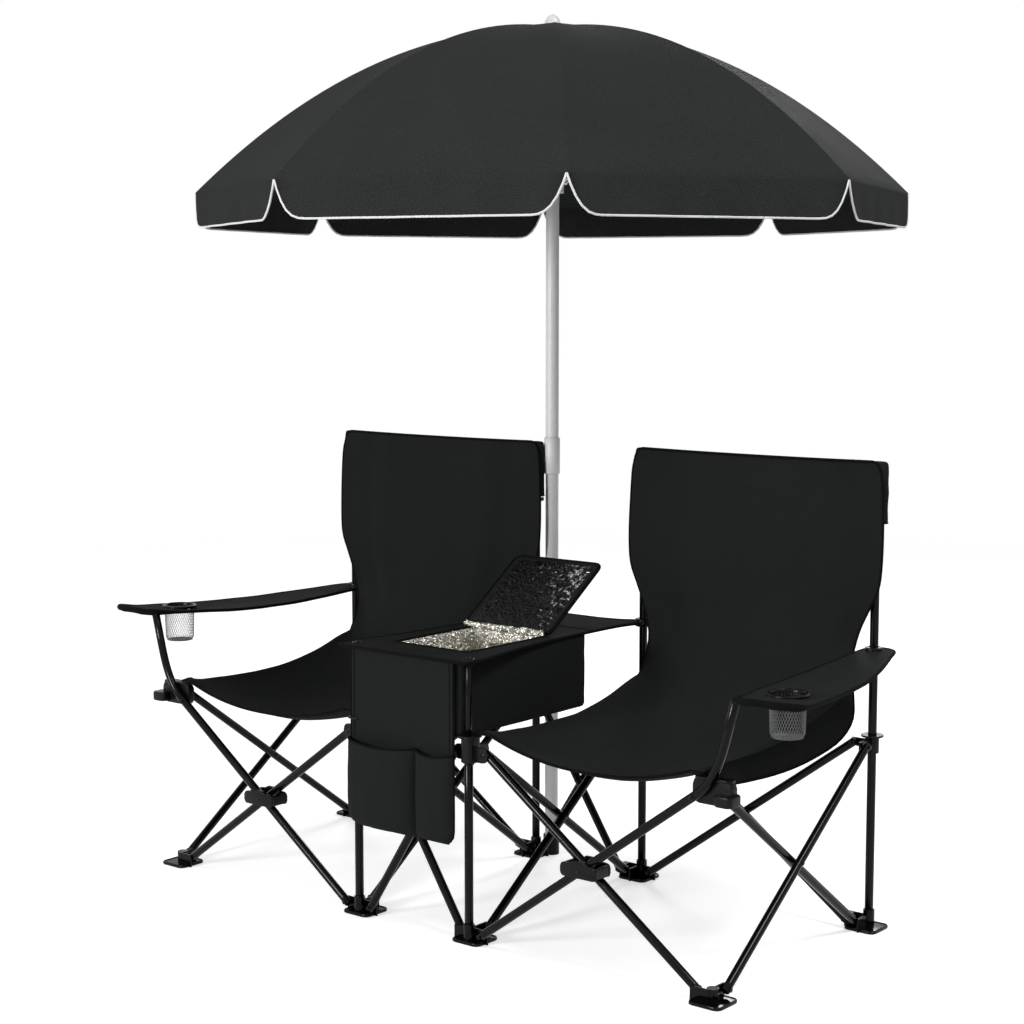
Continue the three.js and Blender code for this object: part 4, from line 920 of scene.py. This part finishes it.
def sling_folds(s, share, x, y, z):
    """How far the cloth stands off its smooth shape, by its station and its share of the half width"""
    reach = abs(share)
    back = np.clip((8.5 - s) / 2, 0, 1) * np.clip(s / 0.6, 0, 1)
    seat = np.clip((s - 9.0) / 2, 0, 1) * np.clip((15.6 - s) / 0.8, 0, 1)
    lean = share * 2.2 + (s - WAIST) * 0.5 * np.sign(share)
    d = back * (4.6 * bump_at(reach, 0.7, 0.09) - 2.6 * bump_at(reach, 0.5, 0.09))
    d += back * 1.8 * ripple(x, y, z, 95)
    gathers = bump_at(s, WAIST, 1.7) * 2.4 * math.sin(lean * 5.2)
    d += gathers * np.clip((reach - 0.35) / 0.4, 0, 1) * (1 - reach * 0.4)
    d += seat * (1.6 * ripple(x, y, z, 110) + 0.8 * ripple(x, z, y, 45))
    return d + seat * 1.6 * math.sin(share * 9 + s * 0.8) * bump_at(reach, 0.75, 0.2)


def sling_grid(centre_x):
    rows = resample(STATIONS, ROWS_ALONG)
    spread = np.linspace(-1, 1, COLUMNS)
    columns = np.sin(spread * math.pi / 2) * 0.35 + spread * 0.65
    grid = np.zeros((ROWS_ALONG, COLUMNS, 3))
    for r, (width, crest_y, centre_y, crest_z, centre_z, edge_z) in enumerate(rows):
        for c, share in enumerate(columns):
            t = min(abs(share) / CREST, 1) ** 2.2
            y = (centre_y + (crest_y - centre_y) * t) * DEPTH
            z = (centre_z + (crest_z - centre_z) * t) * SLING_TOP
            over = max(0.0, (abs(share) - CREST) / (1 - CREST))
            z += (edge_z - crest_z) * SLING_TOP * over ** 1.5
            grid[r, c] = (centre_x + share * width * PITCH, y, z)
    round_corners(grid, centre_x, rows[0][0] * PITCH)
    normals = normals_of(grid)
    for r, s in enumerate(np.linspace(0, len(STATIONS) - 1, ROWS_ALONG)):
        for c, share in enumerate(columns):
            grid[r, c] += normals[r, c] * sling_folds(s, share, *grid[r, c])
    return grid


def sling(side, centre_x):
    """A sling in three pieces, so that its seat follows the side tubes"""
    leg, tube_name = f"rear_leg_{side}_inner", f"side_tube_{side}_inner_from_"
    grid = sling_grid(centre_x)
    normals = normals_of(grid)
    along = run_along(grid[:, MIDDLE])
    for name, first, last, body in (
            ("back", 0, UNDER_WAIST, leg), ("seat_rear", UNDER_WAIST, MID_SEAT, tube_name + "front"),
            ("seat_front", MID_SEAT, ROWS_ALONG - 1, tube_name + "rear")):
        cut, cut_normals = grid[first:last + 1], normals[first:last + 1]
        points, faces, uvs = sheet(cut, 2.0, normals=cut_normals)
        mesh = Mesh().add(points, faces, [(u, v + along[first] * MM) for u, v in uvs])
        for column in (0, -1):
            edge = cut[::3, column]
            mesh.roll(edge if (last - first) % 3 == 0 else np.vstack([edge, cut[-1:, column]]))
        for piece, hem, seam in (("back", 0, 7), ("seat_front", -1, -9)):
            if name == piece:
                mesh.roll(cut[hem], 3.0)
                mesh.roll(cut[seam] + cut_normals[seam] * 0.9, 0.7)
        obj = mesh.build(f"sling_{side}_{name}", [CLOTH, BINDING], body,
                         [f"sling_{side}"] if name == "back" else (), sharp=50)
        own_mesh(obj)


def sleeve(row):
    """A pocket of cloth over a leg's top"""
    outward = math.copysign(3.5, ROWS[row]) if "outer" in row else 0
    x, y = ROWS[row] + outward, LEG_Y - 1.2
    low, top = SLING_TOP - 114, SLING_TOP
    profile = [(0.86, low + 2), (0.93, low), (0.98, low + 1), (1.0, low + 6), (0.97, low + 30),
               (1.0, low + 60), (0.99, top - 22), (0.95, top - 8), (0.84, top - 2.5), (0.6, top - 0.6),
               (0.02, top - 0.2)]
    points, faces = lathe(x, y, resample(profile, 40), 40, stretch=(20, 12.5))
    points = [(px + 0.9 * ripple(px, py, pz, 18), py + 0.9 * ripple(py, pz, px, 18), pz)
              for px, py, pz in points]
    mesh = Mesh().add(points, faces)
    hem = [(x + 19.4 * math.cos(t), y + 11.6 * math.sin(t), low + 1.5)
           for t in np.linspace(0, 2 * math.pi, 30)]
    mesh.roll(hem, 1.5)
    mesh.build(f"sleeve_{row}", [CLOTH, BINDING], f"rear_leg_{row}")


for side_name, sign in SIDES:
    sling(side_name, sign * (INNER_X + OUTER_X) / 2)
for row_name in ROWS:
    sleeve(row_name)


# armrests
# Along an armrest from its front to its rear: how far back, its inner and outer edge, and its sag
ARM_STATIONS = [
    (1.088, -0.030, 0.022, 0.00), (1.052, -0.041, 0.062, 0.00), (0.950, -0.044, 0.100, 0.15),
    (0.760, -0.039, 0.164, 0.70), (0.560, -0.027, 0.218, 1.00), (0.360, -0.004, 0.258, 0.95),
    (0.200, 0.030, 0.290, 0.55), (0.080, 0.064, 0.312, 0.20), (-0.010, 0.088, 0.320, -0.20),
    (-0.044, 0.104, 0.300, -0.35), (-0.064, 0.150, 0.250, -0.40)]
ARM_Z, ARM_SAG = 521, 12
CUP_X, CUP_Y, CUP_R, CUP_TOP, CUP_DEPTH = 745, 80, 33, 524, 70
STRAND_R, FLOOR_STRAND_R = 0.36, 0.55


def arm_grid(outward):
    rows = resample(ARM_STATIONS, 71)
    grid = np.zeros((len(rows), 25, 3))
    for r, (back, inner, outer, sag) in enumerate(rows):
        for c, t in enumerate(np.linspace(0, 1, 25)):
            x = (inner + (outer - inner) * t) * PITCH
            z = ARM_Z - sag * ARM_SAG + 1.0 * ripple(x, back * 300, 0, 40)
            z += 2.0 * sag * (2 * t - 1) ** 2
            grid[r, c] = (outward * (OUTER_X + x), back * DEPTH, z)
    return grid[:, ::-1] if outward < 0 else grid


def net_cup(side, x, y):
    """A bag of crossed strands with a flat netted floor"""
    net = Mesh()
    strands = 40
    for way in (-1, 1):
        for k in range(strands):
            path = []
            for t in np.linspace(0, 1, 13):
                r = CUP_R - 2.2 - 2.0 * t - 4 * max(0, t - 0.93) / 0.07
                a = 2 * math.pi * k / strands + way * t * 0.95
                path.append((x + r * math.cos(a), y + r * math.sin(a), CUP_TOP - 3 - CUP_DEPTH * t))
            net.add(*tube(path, STRAND_R, 4, round_ends=False))
    base, reach = CUP_TOP - 3 - CUP_DEPTH, CUP_R - 6
    for k in range(9):
        net.add(*tube(circle(x, y, base, reach * (k + 1) / 9, 24), FLOOR_STRAND_R, 4, closed=True))
    for a in turns(18):
        spoke = [(x + r * math.cos(a), y + r * math.sin(a), base) for r in (2, reach)]
        net.add(*tube(spoke, FLOOR_STRAND_R, 4, round_ends=False))
    return net.build(f"net_cup_{side}", [NET], f"front_joint_{side}_outer", sharp=80)


def armrest(side, outward):
    grid = arm_grid(outward)
    row = f"{side}_outer"
    points, faces, uvs = sheet(grid, 4.4)
    x, y, bore, lip_r = outward * CUP_X, CUP_Y, CUP_R - 4.5, CUP_R + 2.6
    mesh = Mesh().add(points, holed(points, faces, x, y, CUP_R - 1.5), uvs)
    rim = rim_of(grid)[::2]
    rolled = [3.4 + 3.2 * np.clip((24 - rim_y) / 40, 0, 1) for _, rim_y, _ in rim]
    mesh.roll(rim, rolled, 10, closed=True)
    mesh.add(*lathe(outward * OUTER_X, LEG_Y, collar(ARM_Z, 9), 32), finish=2)
    lip = [(bore, CUP_TOP - 6), (bore, CUP_TOP + 0.6), (CUP_R - 2.5, CUP_TOP + 1.6),
           (CUP_R + 2, CUP_TOP + 0.6), (lip_r, CUP_TOP - 1), (lip_r, CUP_TOP - 5), (bore, CUP_TOP - 6)]
    mesh.add(*lathe(x, y, rounded_profile(lip), 48), finish=2)
    pad = mesh.build(f"armrest_{side}_pad", [CLOTH, BINDING, PLASTIC], f"front_joint_{row}",
                     [f"armrest_{side}"], sharp=45)
    for piece in (pad, net_cup(side, x, y)):
        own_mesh(piece)


for side_name, sign in SIDES:
    armrest(side_name, sign)


# table and cooler
# Half of the table's outline from its front to its rear, as shares of its half width and the depth
EDGE = [(0.94, -0.093), (1, -0.075), (0.985, 0.02), (0.875, 0.22), (0.805, 0.45), (0.785, 0.70),
        (0.80, 0.88), (0.86, 0.985), (0.78, 1.03), (0.55, 0.995), (0.25, 0.978)]
TABLE_HALF, TABLE_FRONT, TABLE_REAR, SEAM_Y = 158, -47.9, 503.7, 372
MOUTH_X, MOUTH_Y = (-88, 96), (32, 260)
COOLER_X, COOLER_Y, COOLER_Z = 124, (-22, 356), (376, 519.4)


def table_half(side, way):
    """Half of the table top, which meets the other under the middle, with half of the mouth cut out"""
    edge = [(0, TABLE_FRONT), *map(tuple, resample([(x * TABLE_HALF, y * DEPTH) for x, y in EDGE], 60)),
            (0, TABLE_REAR)]
    mouth = way * MOUTH_X[way > 0]
    cut = [(0, MOUTH_Y[1]), (mouth, MOUTH_Y[1]), (mouth, MOUTH_Y[0]), (0, MOUTH_Y[0])]
    loop = [(way * x, y) for x, y in edge + cut][::way]
    mesh = Mesh().add(*slab(loop, TABLE_Z, TABLE_Z + TABLE_T, bevel=0))
    rim = [(way * x, y, TABLE_Z + 2) for x, y in edge]
    mesh.roll(rim, 3.4, 10, round_ends=False)
    top = TABLE_Z + TABLE_T
    hem = [(way * x, y, top) for x, y in cut[::-1]]
    for k, soft in ((0, False), (1, True), (2, False)):
        mesh.roll(hem[k:k + 2], 2.2, round_ends=soft)
    mesh.roll([(0, SEAM_Y, top), (way * 122, SEAM_Y, top)], 1.0, 6)
    mesh.add(*lathe(way * INNER_X, LEG_Y, collar(522, 8), 32), finish=2)
    button = [(0.01, 527.4), (3.5, 527.2), (4.4, 525.2), (8.5, 525.4), (10.2, 524.8), (10.6, 523.8)]
    mesh.add(*lathe(way * INNER_X, POST_Y, resample(button, 24), 28), finish=2)
    body = f"front_joint_{side}_inner"
    obj = mesh.build(f"table_{side}", [SHADED_TOP_CLOTH, BINDING, PLASTIC], body,
                     ["table_top"] if way < 0 else (), sharp=35)
    draw_in(obj)


def box_ring(z, inset, side_bulge):
    """Half of a rounded rectangle seen from above, from the front's middle to the rear's"""
    x, y0, y1, r = COOLER_X - inset, COOLER_Y[0] + inset, COOLER_Y[1] - inset, max(14 - inset, 4)
    bend = np.linspace(0.2, math.pi / 2 - 0.2, 5)
    points = [(t * (x - r), y0) for t in np.linspace(0, 1, 9)]
    points += [(x - r + r * math.sin(a), y0 + r - r * math.cos(a)) for a in bend]
    points += [(x, y0 + r + (y1 - y0 - 2 * r) * t) for t in np.linspace(0, 1, 15)]
    points += [(x - r + r * math.cos(a), y1 - r + r * math.sin(a)) for a in bend]
    points += [((1 - t) * (x - r), y1) for t in np.linspace(0, 1, 9)]
    result = []
    for px, py in points:
        along = math.sin(math.pi * np.clip((py - y0) / (y1 - y0), 0, 1))
        result.append((px + side_bulge * along * (1 if px > x - r else 0), py, z))
    return result


def cooler_skin(side, way, skin_name, inset, material, rough):
    """Half of the cooler's wall and floor, bulged and rumpled"""
    floor = COOLER_Z[0] + inset
    rows = [box_ring(COOLER_Z[1] - (COOLER_Z[1] - floor - 8) * t, inset, 5 * math.sin(math.pi * t))
            for t in np.linspace(0, 1, 15)]
    rows += [box_ring(z, inset + grow, 0) for grow, z in ((2.2, floor + 3), (6, floor + 0.8), (12, floor))]
    last = rows[-1]
    rows += [[(x * (1 - t), y, z) for x, y, z in last] for t in (0.2, 0.4, 0.6, 0.8, 0.98)]
    grid = np.array(rows)
    for row in grid:
        for c, (x, y, z) in enumerate(row):
            push = rough * np.array([ripple(x, y, z, 24), ripple(y, z, x, 24), ripple(z, x, y, 24)])
            if c in (0, len(row) - 1):
                push[0] = 0
            row[c] = (way * (x + push[0]), y + push[1], z + push[2] * 0.5)
    mesh = Mesh().add(*sheet(grid[:, ::-1] if way > 0 else grid, 1.0))
    obj = mesh.build(f"cooler_{skin_name}_{side}", [material], f"front_joint_{side}_inner",
                     ["cooler"] if (way, skin_name) == (-1, "outer") else (), sharp=50)
    draw_in(obj)


for side_name, sign in SIDES:
    table_half(side_name, sign)
for side_name, sign in SIDES:
    cooler_skin(side_name, sign, "outer", 0.5, CLOTH, 0.8)
    cooler_skin(side_name, sign, "lining", 5.0, FOIL, 2.6)


# lid and foil edges
HINGE = np.array([-6, MOUTH_Y[1] + 6, 527.8])
LID_HALF, LID_LONG, LID_LEAN = 106, 202, math.radians(35)
LID_RIGHT, LID_BACK = np.array([1.0, 0, 0]), np.array([0, math.cos(LID_LEAN), math.sin(LID_LEAN)])
FACE_HALF, FACE_LOW, FACE_LONG = 98, 6, 189


def on_lid(x, y, rise=0):
    """A place on the open lid, or above its foil face"""
    return HINGE + LID_RIGHT * x + LID_BACK * y + np.cross(LID_RIGHT, LID_BACK) * rise


def lid():
    """The open lid: a bound cloth panel with a rumpled foil face"""
    outline = rounded(oblong(-LID_HALF, LID_HALF, 0, LID_LONG), 14)
    mesh = Mesh().add(*slab(outline, -3.2, 2.4, HINGE, LID_RIGHT, LID_BACK, 1.4))
    mesh.roll([on_lid(x, y) for x, y in outline], 4.2, 10, closed=True)
    steps = 52
    grid = np.zeros((steps, steps, 3))
    for r, v in enumerate(np.linspace(0, 1, steps)):
        for c, u in enumerate(np.linspace(0, 1, steps)):
            x, y = FACE_HALF * (2 * u - 1), FACE_LOW + FACE_LONG * v
            rise = 2.6 + 1.5 * ripple(x, y, 0, 16) + 0.9 * ripple(x, y, 9, 7)
            rise *= min(1, 12 * min(u, 1 - u, v, 1 - v) + 0.3)
            grid[r, c] = on_lid(x, y, rise + 0.6)
    mesh.add(*sheet(grid[:, ::-1], 0.8), finish=2)
    obj = mesh.build("lid_panel", [CLOTH, BINDING, LID_FOIL_PAINTED_GLINTS], "cooler_lid", ["cooler_lid"], sharp=35)
    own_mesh(obj)


def mouth_lining(side, way):
    """Foil gathered along one half of the mouth's edge"""
    edge_x = MOUTH_X[way > 0]
    y0, y1 = MOUTH_Y
    corners = [(0, y0), (edge_x, y0), (edge_x, y1), (0, y1)]
    path = [(0.0, float(y0))]
    for a, b, steps in zip(corners, corners[1:], (55, 111, 55)):
        for t in np.linspace(0, 1, steps)[1:]:
            path.append((a[0] + (b[0] - a[0]) * t, a[1] + (b[1] - a[1]) * t))
    middle = np.array([way * 4, (y0 + y1) / 2])
    rows = []
    for depth, inward in ((0, 1.5), (3, 4), (8, 5), (14, 5), (22, 4.5), (32, 3.5), (44, 2)):
        row = []
        for k, (x, y) in enumerate(path):
            toward = (middle - (x, y)) / np.linalg.norm(middle - (x, y))
            crimp = (0.5 + min(depth, 12) / 8) * math.sin(k * 1.35 + 0.8 * ripple(x, y, depth, 11))
            crimp += inward + 1.3 * ripple(x, y, depth, 8)
            row.append((x + toward[0] * crimp if x else 0.0, y + toward[1] * crimp, TABLE_Z + 2 - depth))
        rows.append(row)
    grid = np.array(rows)
    mesh = Mesh().add(*sheet(grid if way < 0 else grid[:, ::-1], 0.6))
    obj = mesh.build(f"mouth_lining_{side}", [FOIL], f"front_joint_{side}_inner", sharp=30)
    draw_in(obj)


def lid_gusset(side, way):
    """Half of the foil roll between the lid and the mouth's rear edge"""
    reach, count = (104 if way < 0 else 92), 61
    path = [(way * reach * t, MOUTH_Y[1] - 1 + 1.6 * math.sin(k * 1.7), 528 + 1.3 * math.sin(k * 2.3))
            for k, t in enumerate(np.linspace(0, 1, count))]
    radii = [5.6 + 1.7 * math.sin(k * 2.1) + ripple(way * k * 7, 3, 1, 9) for k in range(count)]
    roll = Mesh().add(*tube(path, radii, 10)).build(
        f"lid_gusset_{side}", [FOIL], f"front_joint_{side}_inner", sharp=30)
    draw_in(roll)


lid()
for side_name, sign in SIDES:
    mouth_lining(side_name, sign)
    lid_gusset(side_name, sign)


# pocket panel
PANEL_X, PANEL_SPLIT, PANEL_Z, POCKET_TOP = (-142, 112), 24, (180, 519.4), 345
PANEL_Y = POST_Y - 12.6
PANEL_CORNER = 26


def corner_cut(z):
    """How far the panel's rounded lower corner draws in at a height"""
    rise = max(0.0, PANEL_CORNER - (z - PANEL_Z[0]))
    return PANEL_CORNER - math.sqrt(max(PANEL_CORNER ** 2 - rise ** 2, 0))


def panel_grid():
    xs, zs = np.linspace(*PANEL_X, 44), np.linspace(PANEL_Z[1], PANEL_Z[0], 58)
    grid = np.zeros((len(zs), len(xs), 3))
    for r, z in enumerate(zs):
        cut = corner_cut(z)
        low = (PANEL_Z[1] - z) / (PANEL_Z[1] - PANEL_Z[0])
        for c, x in enumerate(np.interp(xs, PANEL_X, (PANEL_X[0] + cut, PANEL_X[1] - cut * 0.5))):
            grid[r, c] = (x, PANEL_Y + 0.9 * low * ripple(x, 0, z, 60), z)
    return grid


def pocket_grid(start, end, depth, phase):
    """A pocket that bellies out of the panel, with two soft folds and a dipped mouth. The first one,
    with phase 0, leans out past the panel's left edge"""
    wide = phase == 0
    rows = []
    for v in np.linspace(0, 1, 40):
        z = POCKET_TOP + (PANEL_Z[0] - POCKET_TOP) * v
        round_off = math.sqrt(max(0.0, 1 - max(0, (v - 0.86) / 0.14) ** 2))
        belly = 0.86 + 0.14 * math.sin(math.pi * v)
        cut = corner_cut(z)
        from_x, to_x = (start + cut, end) if wide else (start, end - cut * 0.5)
        row = []
        for u in np.linspace(0, 1, 36):
            across = math.sin(math.pi * u)
            out = depth * max(across, 0) ** 0.5 * round_off * belly
            fold = 1.8 * bump_at(u, 0.3, 0.05) + 1.4 * bump_at(u, 0.72, 0.06)
            out = max(out - fold * round_off * across - 1.0, 0)
            dip = 5 * across * max(0, 1 - v * 3)
            x = from_x + (to_x - from_x) * u
            if wide:
                x -= 17 * across ** 0.5 * (1 - u) ** 2 * belly * round_off
            row.append((x + 0.8 * ripple(x, phase, z, 30), PANEL_Y - 1.2 - out, z - dip))
        rows.append(row)
    return np.array(rows)


def pocket_panel():
    grid = panel_grid()
    mesh = Mesh().add(*sheet(grid, 2.0))
    mesh.roll(rim_of(grid)[::2], 2.3, closed=True)
    x0, x1 = PANEL_X
    for start, end, depth, phase in ((x0, PANEL_SPLIT, 34, 0), (PANEL_SPLIT, x1, 24, 5)):
        grid = pocket_grid(start, end, depth, phase)
        mesh.add(*sheet(grid, 1.8))
        mesh.roll(grid[0], 2.2)
        for column in (0, -1):
            mesh.roll(grid[::2, column], 1.6)
    for x in (x0 + 9, x1 - 9):
        seam = [(x, PANEL_Y - 1.3, z) for z in np.linspace(PANEL_Z[1] - 4, POCKET_TOP + 2, 12)]
        mesh.roll(seam, 0.8, 6)
    obj = mesh.build("pockets", [CLOTH, BINDING], "front_joint_left_inner", ["pocket_panel"], sharp=45)
    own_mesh(obj)


pocket_panel()
